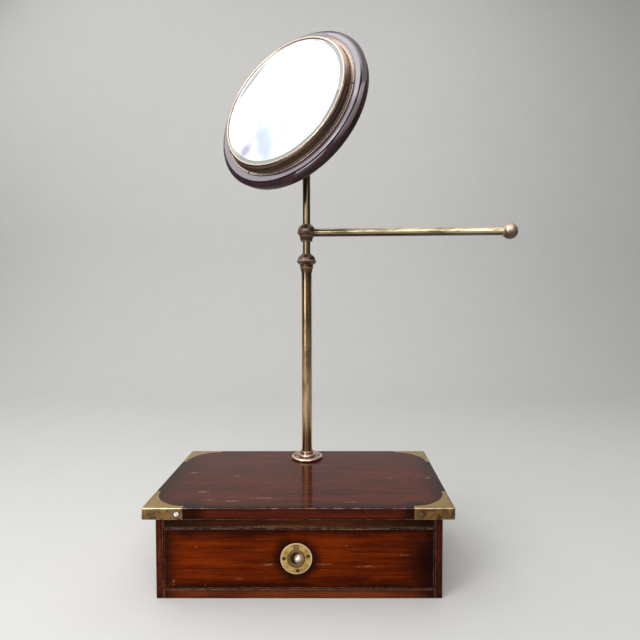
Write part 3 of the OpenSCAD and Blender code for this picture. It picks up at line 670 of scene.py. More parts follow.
# Pole. A turned brass flange is screwed to the top board with two screws, and the half-inch tube
# is soldered into it. A ferrule on the tube's top carries the clamping knop, which squeezes the rod.
def eased(profile, radius, steps=3, skip=0.0005):
    """Rounds the corners of an open profile by a small radius."""
    soft = [profile[0]]
    for before, at, after in zip(profile, profile[1:], profile[2:]):
        back = Vector(before) - Vector(at)
        on = Vector(after) - Vector(at)
        reach = min(radius, 0.45 * back.length, 0.45 * on.length)
        if reach < skip or back.angle(on, pi) > radians(168):
            soft.append(at)
        else:
            soft += curve(Vector(at) + back.normalized() * reach, at, Vector(at) + on.normalized() * reach, steps)
    return soft + [profile[-1]]


def curve(start_at, toward, end_at, steps=10):
    """Points that leave one point toward a second and arrive at a third."""
    a, b, c = Vector(start_at), Vector(toward), Vector(end_at)
    return [tuple((1 - t) ** 2 * a + 2 * t * (1 - t) * b + t * t * c) for t in [i / steps for i in range(steps + 1)]]


def beside(radius, height, *offsets):
    """Points of a profile, each told by how far out and up it lies from one point."""
    return [(radius + out, height + up) for out, up in offsets]


def column(radius, low, high, rings):
    """Points up a straight wall, so that a long tube gets faces of an even size."""
    return [(radius, low + (high - low) * i / rings) for i in range(rings + 1)]


def straight(radius, low, high):
    """The profile of a plain cylinder."""
    return [(0, low), (radius, low), (radius, high), (0, high)]


def peg(name, radius, low, high, place=Matrix(), steps=40):
    """A plain cylinder, mostly to cut a hole with."""
    return turned(name, straight(radius, low, high), place, steps=steps)


def turn_out(name, node, profile, place, finish, steps, ring=True):
    """Turns a piece that needs no more work and hands it over as a node."""
    hand_over(turned(name, profile, place, finish, steps, ring), finish, node)


def around(finish, place):
    """Distance from a turned piece's axis, height along it, and the two ways across it."""
    x, y, z = finish.parts(finish.node("ShaderNodeMapping", {
        "Vector": finish.place, "Location": place.to_translation(), "Rotation": place.to_euler()},
        vector_type="TEXTURE"))
    return (x * x + y * y) ** 0.5, z, x, y


def on_pole(height):
    return shift(pole_axis.x, pole_axis.y, height)


def half_width(node):
    low, high = span(node)
    return (high.x - low.x) / 2


def patina(name, place, tone=rgb(114, 90, 82), glow=rgb(214, 178, 150), deep=rgb(44, 28, 20),
           blotch=rgb(92, 64, 40), bright=(), dark=(), painted_shade_below=None, seed=0.0, rough=0.3):
    """Turned brass under a brown patina. Bright and dark hold rings: radius, height, and how far each
    reaches. Bright rings are painted pale, part patina rubbed through and part painted highlights on rims
    and beads. Dark rings are painted dark, part dirt in angles and joints and part painted shade under rims
    and in coves. Painted shade below holds two heights of the whole object, between which the colour is
    painted darker downward, a painted shade."""
    metal = Finish(name)
    out, up = around(metal, place)[:2]
    mottle = metal.clouds(4.5, seed=seed, detail=5, rough=0.6, warp=0.5)
    bloom = metal.clouds(11, seed=seed + 5, detail=2)
    specks = metal.spread(metal.clouds(0.7, seed=seed + 7, detail=2), 0.64, 0.74)

    def near_rings(rings, core):
        """1 on any of the rings, and full within a share of its reach."""
        found = 0.0
        for radius, height, reach in rings:
            far = ((out - radius) ** 2 + (up - height) ** 2) ** 0.5 + (mottle - 0.5) * reach
            ring = metal.spread(far, reach, core * reach)
            found = ring.most(found) if found else ring
        return found

    # Bright rings: part rubbed patina, part painted highlight. Dark rings: part dirt, part painted shade.
    rub = near_rings(bright, 0.3)
    grime_and_shade = near_rings(dark, 0.2)
    colour = metal.mix(metal.spread(mottle * 0.7 + bloom * 0.3, 0.42, 0.66) * 0.8, tone, blotch)
    # Lower on the object the colour is painted darker, a painted shade.
    if painted_shade_below:
        shade_height = metal.parts(metal.place)[2] + (bloom - 0.5) * 12
        colour = metal.mix(metal.spread(shade_height, painted_shade_below[1], painted_shade_below[0]) * 0.85, colour, deep)
    colour = metal.over(colour, (rub * 0.9, glow), (grime_and_shade * 0.85, deep), (specks * 0.5, deep))
    metal.plug(base_color=colour, metallic=0.9 - specks * 0.3 - grime_and_shade * 0.4,
               roughness=rough + (mottle - 0.5) * 0.22 - rub * 0.08 + grime_and_shade * 0.2)
    metal.relief(mottle * 0.05 + specks * -0.02)
    return metal


tube_low, tube_high = span("lower_tube")
tube_r = half_width("lower_tube")
rod_r = half_width("sliding_rod")
flange_r = half_width("pole_flange")
flange_h = span("pole_flange")[1].z - board_high.z
flange_rim = 1.8
flange_dish = 3.0
flange_floor = 1.2
bead_at = tube_r + 2.8
bead_r = 1.3
pole_foot = on_pole(board_high.z)
flange_profile = ([(0, 0)] + arc((flange_r - flange_rim, flange_rim), flange_rim, -90, 118, 16)
                  + [(flange_r - 2.2 * flange_rim, flange_dish), (bead_at + 0.2, flange_dish)]
                  + arc((bead_at, flange_dish + bead_r), bead_r, -88, 92, 12)
                  + beside(tube_r, flange_dish + 2 * bead_r, (1.75, 0), (1.6, 0.3)) + [(tube_r + 1.6, flange_h - 1)]
                  + arc((tube_r + 0.6, flange_h - 1), 1, 0, 86, 6)
                  + [(tube_r + 0.04, flange_h - 0.1), (tube_r + 0.04, flange_floor), (0, flange_floor)])
# The flange's rim and bead are painted pale, part rubbed brass and part painted highlights, and the angle beside the
# bead is painted darker.
flange_finish = patina("flange_patina", pole_foot, tone=rgb(208, 172, 150), glow=rgb(252, 232, 214),
                       blotch=rgb(150, 112, 88), seed=2.0,
                       bright=((flange_r - 0.8, 2.9, 1.5), (bead_at + 0.2, flange_dish + bead_r, 1.9)),
                       dark=((bead_at + 1.4, flange_dish, 0.7),))
flange_screw_places = [pole_foot @ shift(side * flange_screw_out, 0, flange_dish) @ spin(turn)
                       for side, turn in ((-1, 65), (1, 150))]
flange = drilled(turned("turned_flange", flange_profile, pole_foot, flange_finish, 128), flange_screw_places,
                 countersink_r + 0.05, shank_r + 0.1, 5)
hand_over(flange, flange_finish, "pole_flange")
drive_screws("flange_screws_driven", "flange_screws", flange_screw_places,
             screw_metal("flange_screw_steel", rgb(86, 66, 50), seed=4.0), countersink_r, shank_r, 8.6)


def drawn_brass(name, along, gold=rgb(184, 154, 108), seed=0.0, ends=(), under=None):
    """Drawn brass rod or tube, rubbed bright by hands, with olive and brown stains along it. Under holds
    two heights, between which a level rod is painted dark toward its underside, a painted shade."""
    brass = Finish(name, {"Coat Weight": 0.8, "Coat Roughness": 0.12})
    length = lengthwise(along, 5)
    stain = brass.clouds(6, length, seed, 4, 0.6, 0.3)
    drift = brass.clouds(30, length, seed + 4, 2)
    scratch = brass.spread(brass.clouds(0.4, lengthwise(along, 14), seed + 6, 2), 0.58, 0.7)
    age = brass.spread(brass.clouds(1.2, seed=seed + 9), 0.62, 0.76)
    where = brass.parts(brass.place)
    colour = brass.over(gold, (brass.spread(stain, 0.42, 0.70), rgb(120, 92, 56)),
                        (brass.spread(drift, 0.45, 0.65) * 0.45, rgb(106, 92, 56)), (age * 0.5, rgb(84, 58, 34)))
    for at, reach in ends:
        near = brass.spread(abs(where[along] - at) + (stain - 0.5) * reach, reach, 0)
        colour = brass.mix(near * 0.85, colour, rgb(96, 74, 66))
    # A level rod is painted dark toward its underside, a painted shade.
    if under:
        below = brass.spread(where[2] + (stain - 0.5) * 1.5, under[1], under[0])
        colour = brass.mix(below * 0.92, colour, rgb(38, 22, 5))
    brass.plug(base_color=colour, metallic=0.95 - age * 0.3,
               roughness=0.2 + (stain - 0.5) * 0.16 + scratch * 0.05 + age * 0.12)
    brass.relief(drift * 0.25 + stain * 0.05 + scratch * 0.004)
    return brass


tube_bore = tube_r - 1.2
tube_l = tube_high.z - tube_low.z
tube_wall = [(tube_bore, 0)] + column(tube_r, 0, tube_l, 48) + [(tube_bore, tube_l)]
turn_out("lower_tube_drawn", "lower_tube", tube_wall, on_pole(tube_low.z),
         drawn_brass("tube_brass", 2, seed=3.0, ends=((tube_high.z - 9, 13),)), 64)

slip = 0.06
ferrule_low = 7.0
ferrule_up = 2.0
collet_top = 9.0 + ferrule_up
collet_r = rod_r + 2.25
ferrule_r = tube_r + 2.05
ferrule_profile = ([(rod_r + slip, collet_top), (rod_r + slip, 0), (tube_r + 0.03, 0)]
                   + beside(tube_r, -ferrule_low, (0.03, 0), (0.45, 0))
                   + curve((tube_r + 0.55, -ferrule_low + 0.3), (tube_r + 0.75, -3.4), (ferrule_r - 0.5, -1.9), 10)
                   + arc((ferrule_r - 0.9, -0.9), 0.9, -40, 60, 6)
                   + beside(ferrule_r, 0, (-0.5, 0.35), (-0.2, 0.7), (-0.1, 1.4), (-0.3, ferrule_up))
                   + [(collet_r, ferrule_up)] + beside(collet_r, collet_top, (0, -0.8), (-0.8, 0)))
# The ferrule's widest bulge is painted pale, part rubbed brass and part painted highlight; its joints with the knop
# and the tube are painted dark.
turn_out("turned_ferrule", "clamp_ferrule", ferrule_profile, on_pole(tube_high.z),
         patina("ferrule_patina", on_pole(tube_high.z), tone=rgb(104, 78, 56), glow=rgb(160, 124, 86),
                blotch=rgb(80, 56, 38), seed=5.0, bright=((ferrule_r, -1.2, 1.2),),
                dark=((ferrule_r - 0.3, 0.3, 0.5), (tube_r + 0.4, -6.8, 0.7))), 96)

knop_low, knop_high = span("clamp_knop")
knop_h = knop_high.z - knop_low.z
knop_r = half_width("clamp_knop")
knop_foot = tube_r + 2.7
knop_neck = rod_r + 1.3
rim_z = 0.34 * knop_h
collet_room = 10.9
knop_profile = ([(rod_r + slip, knop_h - 0.3), (rod_r + slip, collet_room + 1), (collet_r + slip, collet_room),
                 (collet_r + slip, 0.2), (collet_r + 0.3, 0), (knop_foot - 0.6, 0)]
                + curve((knop_foot - 0.5, 0.1), (knop_foot + 1.4, 0.9), (knop_r - 0.5, rim_z - 1.5), 14)
                + arc((knop_r - 0.8, rim_z - 0.8), 0.8, -30, 84, 10)
                + beside(knop_r, rim_z, (-0.85, 0.16), (-0.95, 0.45))
                + arc((knop_r - 1.15, rim_z + 0.75), 0.3, -60, 70, 5)
                + curve((knop_r - 1.2, rim_z + 1.1), (knop_r - 2.0, rim_z + 5.6), (knop_neck + 1.1, knop_h - 1.7), 14)
                + beside(knop_neck, knop_h, (0.35, -1.55), (0.1, -1.2), (0, -0.5), (-0.3, 0))
                + [(rod_r + 0.3, knop_h)])
# The knop's rim is painted pale in two lines, part rubbed brass and part painted highlights; it is painted dark just
# above and under the rim, a painted shade, and dark at its joint with the ferrule.
turn_out("turned_knop", "clamp_knop", knop_profile, on_pole(knop_low.z),
         patina("knop_patina", on_pole(knop_low.z), seed=8.0, glow=rgb(255, 226, 206),
                bright=((knop_r - 0.4, rim_z - 0.2, 0.5), (knop_r - 1.0, rim_z + 0.8, 0.3)),
                dark=((knop_r - 0.9, rim_z + 0.3, 0.35), (knop_foot - 0.4, 0.1, 0.9),
                      (knop_r - 0.2, rim_z - 1.7, 1.0))), 128)


# Sliding rod. Three-eighths-inch drawn brass with a guide bush and nut on its foot, inside the tube,
# and a fork on its top. A slotted bolt and a knurled thumb nut clamp the mirror's tongue in the fork.
rod_low, rod_high = span("sliding_rod")
spigot_r = rod_r - 1.55
shoulder = 125.25
rod_profile = ([(0, rod_low.z), *beside(spigot_r, rod_low.z, (-0.4, 0), (0, 0.4)), (spigot_r, shoulder),
                (rod_r - 0.3, shoulder)]
               + column(rod_r, shoulder + 0.3, rod_high.z - 0.6, 60) + [(rod_r - 0.6, rod_high.z), (0, rod_high.z)])
turn_out("sliding_rod_drawn", "sliding_rod", rod_profile, on_pole(0),
         drawn_brass("rod_brass", 2, gold=rgb(136, 116, 82), seed=9.0, ends=((rod_high.z, 20),)), 64, ring=False)


def chamfered(inner_r, radius, low, high, edge, top_edge=None):
    """The profile of a cylinder or a ring with both its edges cut off."""
    top_edge = top_edge or edge
    return [(inner_r, low), *beside(radius, low, (-edge, 0), (0, edge)),
            *beside(radius, high, (0, -top_edge), (-top_edge, 0)), (inner_r, high)]


for name, node, finish_name, seed, bore_r, top_edge, steps in (
        ("guide_bush", "rod_foot_bush", "bush_brass", 14.0, spigot_r + slip, 0.4, 64),
        ("foot_nut", "rod_foot_nut", "foot_nut_brass", 15.0, spigot_r + 0.03, 0.3, 48)):
    low, high = span(node)
    turn_out(name, node, chamfered(bore_r, half_width(node), low.z, high.z, 0.4, top_edge), on_pole(0),
             drawn_brass(finish_name, 2, seed=seed), steps)

head_turn = 33.6
head_tilt = 19.0
tilt_joint = next(joint for joint in frame["joints"] if joint["name"] == "mirror_tilt")
pivot_at = Vector(tilt_joint["pos_m"]) / mm
pivot = Matrix.Translation(pivot_at) @ spin(-head_turn)
crosswise = spin(90, "Y")
tongue_half = 3.0
tongue_r = 5.5
cheek_in = tongue_half + 0.1
cheek_out = cheek_in + 3.0
cheek_r = tongue_r + 1
bolt_r = 2.5
fork_base_r = sqrt(cheek_out ** 2 + 0.75 * cheek_r ** 2)
fork_floor = -(cheek_r + 3)
fork_socket = 8
fork_low = rod_high.z - pivot_at.z - fork_socket
fork_foot_r = rod_r + 1.6
fork_profile = ([(0, fork_low)] + beside(fork_foot_r, fork_low, (-0.6, 0), (0, 0.6), (0, 2.2), (-0.4, 2.6))
                + curve((fork_foot_r - 0.5, fork_low + 3), (fork_foot_r - 0.6, fork_floor - 3),
                        (fork_base_r - 0.3, fork_floor - 2.2))
                + [(fork_base_r, fork_floor - 1.8), (fork_base_r, fork_floor), (0, fork_floor)])
fork = turned("tilting_fork", fork_profile, steps=72)
carve(fork, turned("cheek", chamfered(0, cheek_r, -cheek_out, cheek_out, 0.5), crosswise, steps=64),
      block("stem", (-cheek_out, -0.85 * cheek_r, fork_floor - 1), (cheek_out, 0.85 * cheek_r, 0)), operation="UNION")
carve(fork, block("gap", (-cheek_in, -2 * cheek_r, fork_floor), (cheek_in, 2 * cheek_r, 2 * cheek_r)),
      peg("bore", bolt_r + 0.03, -20, 20, crosswise),
      peg("socket", rod_r + 0.03, fork_low - 1, fork_low + fork_socket, steps=48))
fork_finish = patina("fork_patina", pivot, tone=rgb(150, 116, 88), seed=11.0, bright=((cheek_r, 0, 2.0),))
hand_over(placed(softened(fork, 0.35, 2, 40), pivot), fork_finish, "rod_fork")

bolt_head_r = bolt_r + 1.9
washer_t = 0.8
nut_from = cheek_out + washer_t
nut_to = nut_from + 5.5
bolt_end = nut_to + 1
bolt_profile = eased([*beside(0, -cheek_out, (0, -2.4), (bolt_head_r - 0.3, -2.25), (bolt_head_r, -1.6),
                              (bolt_head_r, 0), (bolt_r, 0)),
                      *beside(bolt_r, bolt_end, (0, -0.5), (-0.5, 0)), (0, bolt_end)], 0.3)
bolt = turned("pivot_bolt_turned", bolt_profile, crosswise, steps=64)
carve(bolt, block("slot", (-cheek_out - 4, -bolt_head_r - 1, -0.4), (-cheek_out - 1.7, bolt_head_r + 1, 0.4)))
hand_over(placed(bolt, pivot), patina("bolt_patina", pivot, tone=rgb(146, 114, 80), seed=12.0), "pivot_bolt")

washer_profile = beside(bolt_r, cheek_out, (slip, 0), (2.5, 0), (2.5, washer_t - 0.15), (2.35, washer_t),
                        (0.2, washer_t), (slip, washer_t - 0.2))
turn_out("tilt_washer", "pivot_washer", washer_profile, pivot @ crosswise,
         drawn_brass("washer_brass", 0, seed=13.0), 56)

knurl, start = new_tree("knurled_nut", blank="Geometry", teeth="Int", radius="Float", tooth_depth="Float",
                        width="Float", finish="Material")
pitch = grown(knurl, "GeometryNodeCurvePrimitiveCircle", {"Resolution": start["Teeth"], "Radius": start["Radius"]})
groove = grown(knurl, "GeometryNodeMeshCylinder", {
    "Vertices": 8, "Radius": sum_of(knurl, start["Tooth depth"], "MULTIPLY", 1.4),
    "Depth": sum_of(knurl, start["Width"], "MULTIPLY", 3.0)})
grooves = grown(knurl, "GeometryNodeInstanceOnPoints", {"Points": pitch, "Instance": groove})
knurled = grown(knurl, "GeometryNodeMeshBoolean", {
    "Mesh 1": start["Blank"], "Mesh 2": grown(knurl, "GeometryNodeRealizeInstances", {0: grooves})},
    operation="DIFFERENCE", solver="EXACT")
closed_off(knurl, knurled, start["Finish"])

nut_r = 7.0
nut_place = pivot @ crosswise
nut_finish = patina("thumb_nut_patina", nut_place, tone=rgb(160, 124, 78), glow=rgb(226, 190, 132), seed=16.0,
                    bright=((nut_r, cheek_out + 3, 1.4),))
nut_profile = ([(bolt_r + slip, nut_from)] + beside(nut_r, nut_from, (-0.4, 0), (0, 0.4))
               + beside(nut_r, nut_to, (0, -1.6), (-0.4, -1.2), (-1.6, -1.0), (-2, -0.4), (-2.4, 0))
               + beside(bolt_r, nut_to, (0.3, 0), (slip, -0.24)))
nut = turned("knurled_thumb_nut", nut_profile, steps=96, ring=True)
worked(nut, knurl, teeth=30, radius=nut_r + 0.1, tooth_depth=0.35, width=31.0, finish=nut_finish.material)
hand_over(placed(merged(nut), nut_place), nut_finish, "thumb_nut")


# Arm. A turned collar rides on the rod above the knop and is held by a small set screw. A plain brass
# arm is screwed into its side, with a turned ball on the free end.
arm_turn = 4.0
arm_r = 5.0
arm_l = 247.0
ball_r = 9.6
collar_low, collar_high = span("arm_collar")
collar_h = collar_high.z - collar_low.z
collar_r = half_width("arm_collar")
arm_up = 0.52 * collar_h
arm_start = rod_r + 4
collar_place = on_pole(collar_low.z) @ spin(-arm_turn)
arm_place = collar_place @ shift(0, 0, arm_up) @ crosswise
rim_low = arm_up - 0.7
rim_high = arm_up + 0.5
collar_profile = ([(rod_r + slip, collar_h - 0.3)] + beside(rod_r, 0, (slip, 0.2), (0.3, 0), (2.1, 0))
                  + arc((rod_r + 2.1, 0.7), 0.7, -80, 80, 8) + [(rod_r + 2.25, 1.55)]
                  + curve((rod_r + 2.5, 1.9), (rod_r + 2.9, 4), (collar_r - 2.6, 0.70 * rim_low))
                  + [(collar_r - 2.3, 0.78 * rim_low)]
                  + beside(collar_r, rim_low, (-2.2, -1.5), (-1.4, -1.2), (-1.2, -0.6), (-0.5, -0.2))
                  + arc((collar_r - 0.6, (rim_low + rim_high) / 2), 0.6, -70, 70, 8)
                  + beside(collar_r, rim_high, (-0.65, 0.1), (-0.75, 0.35))
                  + curve((collar_r - 0.85, rim_high + 0.5), (collar_r - 1.2, collar_h - 3),
                          (rod_r + 2, collar_h - 1.2), 14)
                  + beside(rod_r, collar_h, (1.5, -1.1), (1.25, -0.8), (1.2, -0.3), (0.9, 0), (0.3, 0)))
# The collar's foot bead and a ring on its lower cone are painted pale, part rubbed brass and part painted highlights.
# It is painted dark under its rim, in the groove above and above its foot bead, part dirt and part painted shade, and
# darker toward its foot, a painted shade.
collar_finish = patina("collar_patina", collar_place, seed=21.0, glow=rgb(134, 108, 74), deep=rgb(62, 40, 28),
                       bright=((rod_r + 2.8, 0.7, 1.7), (rod_r + 4, rim_low - 3.4, 0.7)),
                       painted_shade_below=(collar_low.z + 2, collar_low.z + rim_low + 2),
                       dark=((collar_r - 2.2, rim_low - 1.6, 1.4), (collar_r - 0.7, rim_high + 0.2, 0.4),
                             (rod_r + 2.6, 1.9, 1.2)))
collar = turned("turned_collar", collar_profile, steps=128, ring=True)
set_screw_up = 4.2
carve(collar, peg("arm_seat", arm_r + 1.1, collar_r - 1.6, collar_r + 2, shift(0, 0, arm_up) @ crosswise, 64),
      peg("arm_bore", arm_r + 0.03, arm_start, 20, shift(0, 0, arm_up) @ crosswise, 64),
      peg("set_screw_bore", 1.53, 0, 24, shift(0, 0, set_screw_up) @ facing_left, 32))
hand_over(placed(collar, collar_place), collar_finish, "arm_collar")

ball_bore_d = 6
arm_end = arm_l - ball_r + ball_bore_d
arm_axis = collar_low.z + arm_up
arm_profile = ([(0, rod_r + 0.4), (2.97, rod_r + 0.4), (2.97, arm_start), (arm_r - 0.2, arm_start)]
               + column(arm_r, arm_start + 0.2, arm_end, 60) + [(0, arm_end)])
# The arm is painted dark toward its underside, a painted shade.
turn_out("arm_rod_drawn", "arm_rod", arm_profile, arm_place,
         drawn_brass("arm_brass", 0, gold=rgb(250, 230, 186), seed=18.0, ends=((arm_start + 2, 8),),
                     under=(arm_axis - 2.7, arm_axis - 0.7)), 64, ring=False)

ball_bore = arm_r + 0.03
ball_place = arm_place @ shift(0, 0, arm_l)
neck = degrees(acos(ball_bore / ball_r))
neck_z = -ball_r * sin(radians(neck))
ball_profile = (arc((0, 0), ball_r, 90, -neck + 1.5, 48) + beside(ball_bore, neck_z, (0.15, -0.05), (0, 0.25))
                + [(ball_bore, ball_bore_d - ball_r), (0, ball_bore_d - ball_r)])
# The ball is painted darker toward its underside, a painted shade.
turn_out("turned_ball", "arm_ball", ball_profile, ball_place,
         patina("ball_patina", ball_place, tone=rgb(236, 208, 188), glow=rgb(236, 206, 178), blotch=rgb(206, 164, 132),
                deep=rgb(38, 17, 6), seed=24.0, rough=0.36, bright=((ball_bore + 0.2, -ball_r * 0.86, 0.8),),
                painted_shade_below=(arm_axis - 3.4, arm_axis + 3.6)), 96, ring=False)

set_screw = turned("collar_set_screw", eased(straight(1.5, 0, 3.2), 0.25), steps=32)
carve(set_screw, block("slot", (-3, -0.35, 2.6), (3, 0.35, 4)))
hand_over(placed(set_screw, collar_place @ shift(-rod_r - 0.15, 0, set_screw_up) @ facing_left),
          screw_metal("set_screw_steel", rgb(84, 68, 54), seed=9.0), "arm_set_screw")


# Drawer. Its front is mahogany, and its sides, back and bottom are thinner plain boards, bare of
# polish. The bottom slides in grooves.
front_low, front_high = span("drawer_front")
front = block("drawer_front_board", front_low, front_high, 1.4, 4)
lining_low, lining_high = span("drawer_bottom")
carve(front, block("groove", lining_low, (lining_high.x, front_high.y + 2, lining_high.z)))

pull_low, pull_high = span("pull_plate")
pull_r = half_width("pull_plate")
pull_mid = (pull_low + pull_high) / 2
pull = shift(pull_mid.x, front_low.y, pull_mid.z) @ facing_front
plate_t = 3.0
recess_d = 2.6
ring_r = 8.5
bowl_r = 6.1
bowl_d = 5.0
cup_r = ring_r + 1.5
cup_d = recess_d + bowl_d + 1.2
pull_screws_at = 12.2
pull_head_r = 1.9
pull_screw_places = [pull @ spin(turn) @ shift(pull_screws_at, 0, 0) @ spin(35) for turn in (12, 179, 277)]
carve(front, turned("pull_seat", [(0, 1), (pull_r + 0.08, 1), (pull_r + 0.08, -plate_t), (cup_r + 0.1, -plate_t),
                                  (cup_r + 0.1, -cup_d - 0.1), (0, -cup_d - 0.1)], pull))
drilled(front, pull_screw_places, 1.0, 1.0, 8.2)
softened(front, 0.12, 1, 50)

# The front is painted darker toward its edges, most toward its right end, and round a spot past that end, a painted
# shade; round the pull it is darker with the dirt of hands. The long knocks along its bottom, right and top edges are
# pale lines, part wear and part painted highlight.
front_knocks = ((-31, 34.6, 7, 1.1), (24, 34.6, 8, 0.8), (67, 32.6, 12, 0.8), (-102.7, 51.8, 1, 1.2),
                (46.9, 53.8, 1.4, 0.9), (-125, 16.4, 0.8, 3.4), (-60, 20, 5, 0.6), (104, 44, 5, 0.6),
                (-4, front_low.z + 0.7, 126, 0.8), (front_high.x - 0.6, 24, 0.6, 9),
                (52, front_high.z - 0.8, 44, 0.7))
front_finish = mahogany("drawer_polish", front_low, front_high, seed=41.0, light=rgb(126, 44, 2), dark=rgb(68, 16, 1),
                        reach=((18, 6, 13), (48, 6, 12)), gloss=0.2, shade=rgb(22, 4, 1),
                        grubby=((pull.to_translation(), pull_r, pull_r + 11),
                                ((front_high.x + 8, front_low.y, 36), 12, 38)),
                        knocks=[((x, front_low.y, z), (half_x, 2, half_z)) for x, z, half_x, half_z in front_knocks])
hand_over(front, front_finish, "drawer_front")


def bare_wood(name, node, grain, seed):
    """Plain planed wood, unpolished and a little dirty toward its edges."""
    low, high = span(node)
    wood = Finish(name, {"Specular IOR Level": 0.3})
    along = lengthwise(grain, 18)
    streaks = wood.clouds(4, along, seed, 5, 0.6, 0.5)
    pores = wood.spread(wood.clouds(0.5, along, seed + 3, 2), 0.58, 0.68)
    rim = edge_distance(wood, low, high, (9, 9, 9), (9, 9, 9)) + (wood.clouds(14, seed=seed + 5) - 0.5)
    tone = wood.mix(wood.spread(streaks, 0.35, 0.65), rgb(146, 104, 66), rgb(178, 134, 90))
    tone = wood.over(tone, (pores * 0.35, rgb(96, 62, 38)), (wood.spread(rim, 1.0, 0.1) * 0.5, rgb(84, 56, 38)))
    wood.plug(base_color=tone, roughness=0.6 + (streaks - 0.5) * 0.2)
    wood.relief(streaks * 0.06 + pores * -0.03)
    return wood


for node, grain, seed in (("drawer_side_left", 1, 1.0), ("drawer_side_right", 1, 4.0), ("drawer_back", 0, 6.0),
                          ("drawer_bottom", 0, 8.0)):
    low, high = span(node)
    board = block(node + "_board", low, high, 0.4)
    if "side" in node:
        carve(board, block("groove", (lining_low.x, low.y - 2, lining_low.z),
                           (lining_high.x, high.y + 2, lining_high.z)))
    hand_over(board, bare_wood(node, node, grain, seed), node)


# Ring pull. A flush cast brass plate with a bowl for the finger, held by three small screws. The
# ring lies in a round recess and swings out on a pin in its tab.
bowl_ball_r = (bowl_r ** 2 + bowl_d ** 2) / (2 * bowl_d)
bowl_mid = -recess_d - bowl_d + bowl_ball_r
bowl_edge = degrees(atan2(-recess_d - bowl_mid, bowl_r))
hinge_up = 12.4
tab_half = 4.9 / 2
ring_half = 1.1
ring_play = 0.25
recess_r = ring_r + ring_play
ring_z = -ring_half - 0.2
pin_line = shift(0, hinge_up, ring_z) @ crosswise
pin_r = 0.6
pin_half = tab_half + 3
plate_profile = ([(0, -cup_d)] + beside(cup_r, -cup_d, (-0.6, 0), (0, 0.6)) + [(cup_r, -plate_t)]
                 + beside(pull_r, -plate_t, (-0.1, 0), (0, 0.1)) + [(pull_r, -0.55)]
                 + arc((pull_r - 0.35, -0.35), 0.35, 0, 60, 4)
                 + [(pull_r - 1.0, 0), *beside(recess_r, 0, (0.25, 0), (0.06, -0.08), (0, -0.3), (0, -recess_d)),
                    (bowl_r + 0.15, -recess_d)]
                 + arc((0, bowl_mid), bowl_ball_r, bowl_edge, -90, 20))
plate = turned("pull_plate_cast", plate_profile, steps=128)
carve(plate, block("tab_slot", (-tab_half - ring_play, 0, -recess_d),
                   (tab_half + ring_play, hinge_up + ring_half + 2 * ring_play, 1)),
      peg("pin_bore", pin_r, -pin_half, pin_half, pin_line, 24))
drilled(placed(plate, pull), pull_screw_places, pull_head_r + 0.05, 1.0, 6)

cast = Finish("pull_plate_brass")
out, up = around(cast, pull)[:2]
smear = cast.clouds(6, seed=3, detail=5, rough=0.6, warp=0.6)
ragged = smear - 0.5
spots = cast.spread(cast.clouds(0.8, seed=5), 0.62, 0.74)
# In the bowl a spot low on the right is painted near white, a painted highlight, and the rest painted dark, a painted
# shade. The recess floor round the ring is painted dark, part dirt and part painted shade, and the plate's rounded lip
# pale cream, part rubbed brass and part painted highlight.
in_bowl = cast.spread(up, -recess_d + 0.3, -recess_d) * cast.spread(out, bowl_r + 0.3, bowl_r)
painted_bowl_highlight = cast.spread(cast.gap(pull @ Vector((3.0, -3.6, -recess_d - 2.6))) + ragged * 2, 3.0, 6.2)
recess_dirt_and_shade = cast.spread(up, -0.3, -1.2) * (1 - in_bowl)
lip = cast.spread(out + ragged * 0.7, pull_r - 1.3, pull_r - 0.8)
stained = cast.spread(out + ragged * 2.0, ring_r + 1.6, ring_r + 0.2) * (1 - in_bowl)
tone = cast.over(rgb(214, 182, 108), (cast.spread(smear, 0.36, 0.66), rgb(168, 130, 66)),
                 (in_bowl, cast.mix(painted_bowl_highlight, rgb(255, 244, 224), rgb(76, 54, 28))), (recess_dirt_and_shade * 0.85, rgb(58, 38, 22)),
                 (spots * 0.4, rgb(84, 60, 36)), (lip * 0.7, rgb(250, 226, 200)), (stained * 0.5, rgb(112, 78, 44)))
cast.plug(base_color=tone, metallic=0.9 - recess_dirt_and_shade * 0.5 - spots * 0.3,
          roughness=0.38 + ragged * 0.25 - lip * 0.08 + recess_dirt_and_shade * 0.2 + in_bowl * 0.04)
cast.relief(smear * 0.06 + spots * -0.03)
hand_over(plate, cast, "pull_plate")
drive_screws("pull_screws_driven", "pull_screws", pull_screw_places,
             screw_metal("pull_screw_steel", rgb(92, 68, 38), seed=6.0), pull_head_r, 0.9, 7)
turn_out("hinge_pin", "pull_pin", eased(straight(pin_r, -pin_half, pin_half), 0.15), pull @ pin_line,
         drawn_brass("hinge_pin_brass", 0, seed=19.0), 24, ring=False)

mid_r = (ring_r + bowl_r) / 2


def squared(turn):
    """Goes round a rounded square, where a cosine goes round a circle."""
    return abs(cos(turn)) ** 0.45 * (1 if cos(turn) >= 0 else -1)


section = [(mid_r + (ring_r - bowl_r) / 2 * squared(radians(15 * step)),
            ring_z + ring_half * squared(radians(15 * step - 90))) for step in range(24)]
ring = turned("pull_ring_cast", section, steps=96, ring=True)
tab = block("tab", (-tab_half, mid_r, ring_z - ring_half), (tab_half, hinge_up, ring_z + ring_half))
carve(tab, peg("knuckle", ring_half, -tab_half, tab_half, pin_line, 32), operation="UNION")
carve(ring, softened(tab, 0.3, 3, 40), operation="UNION")
carve(ring, peg("pin_hole", pin_r + slip, -5, 5, pin_line, 24))
# The ring is painted dark along both edges of its underside, a painted shade in the recess.
ring_finish = patina("ring_patina", pull, tone=rgb(146, 112, 80), blotch=rgb(112, 82, 52), seed=27.0, rough=0.4,
                     dark=((bowl_r, ring_z - 0.4, 0.8), (ring_r, ring_z - 0.4, 0.8)))
hand_over(placed(ring, pull), ring_finish, "pull_ring")


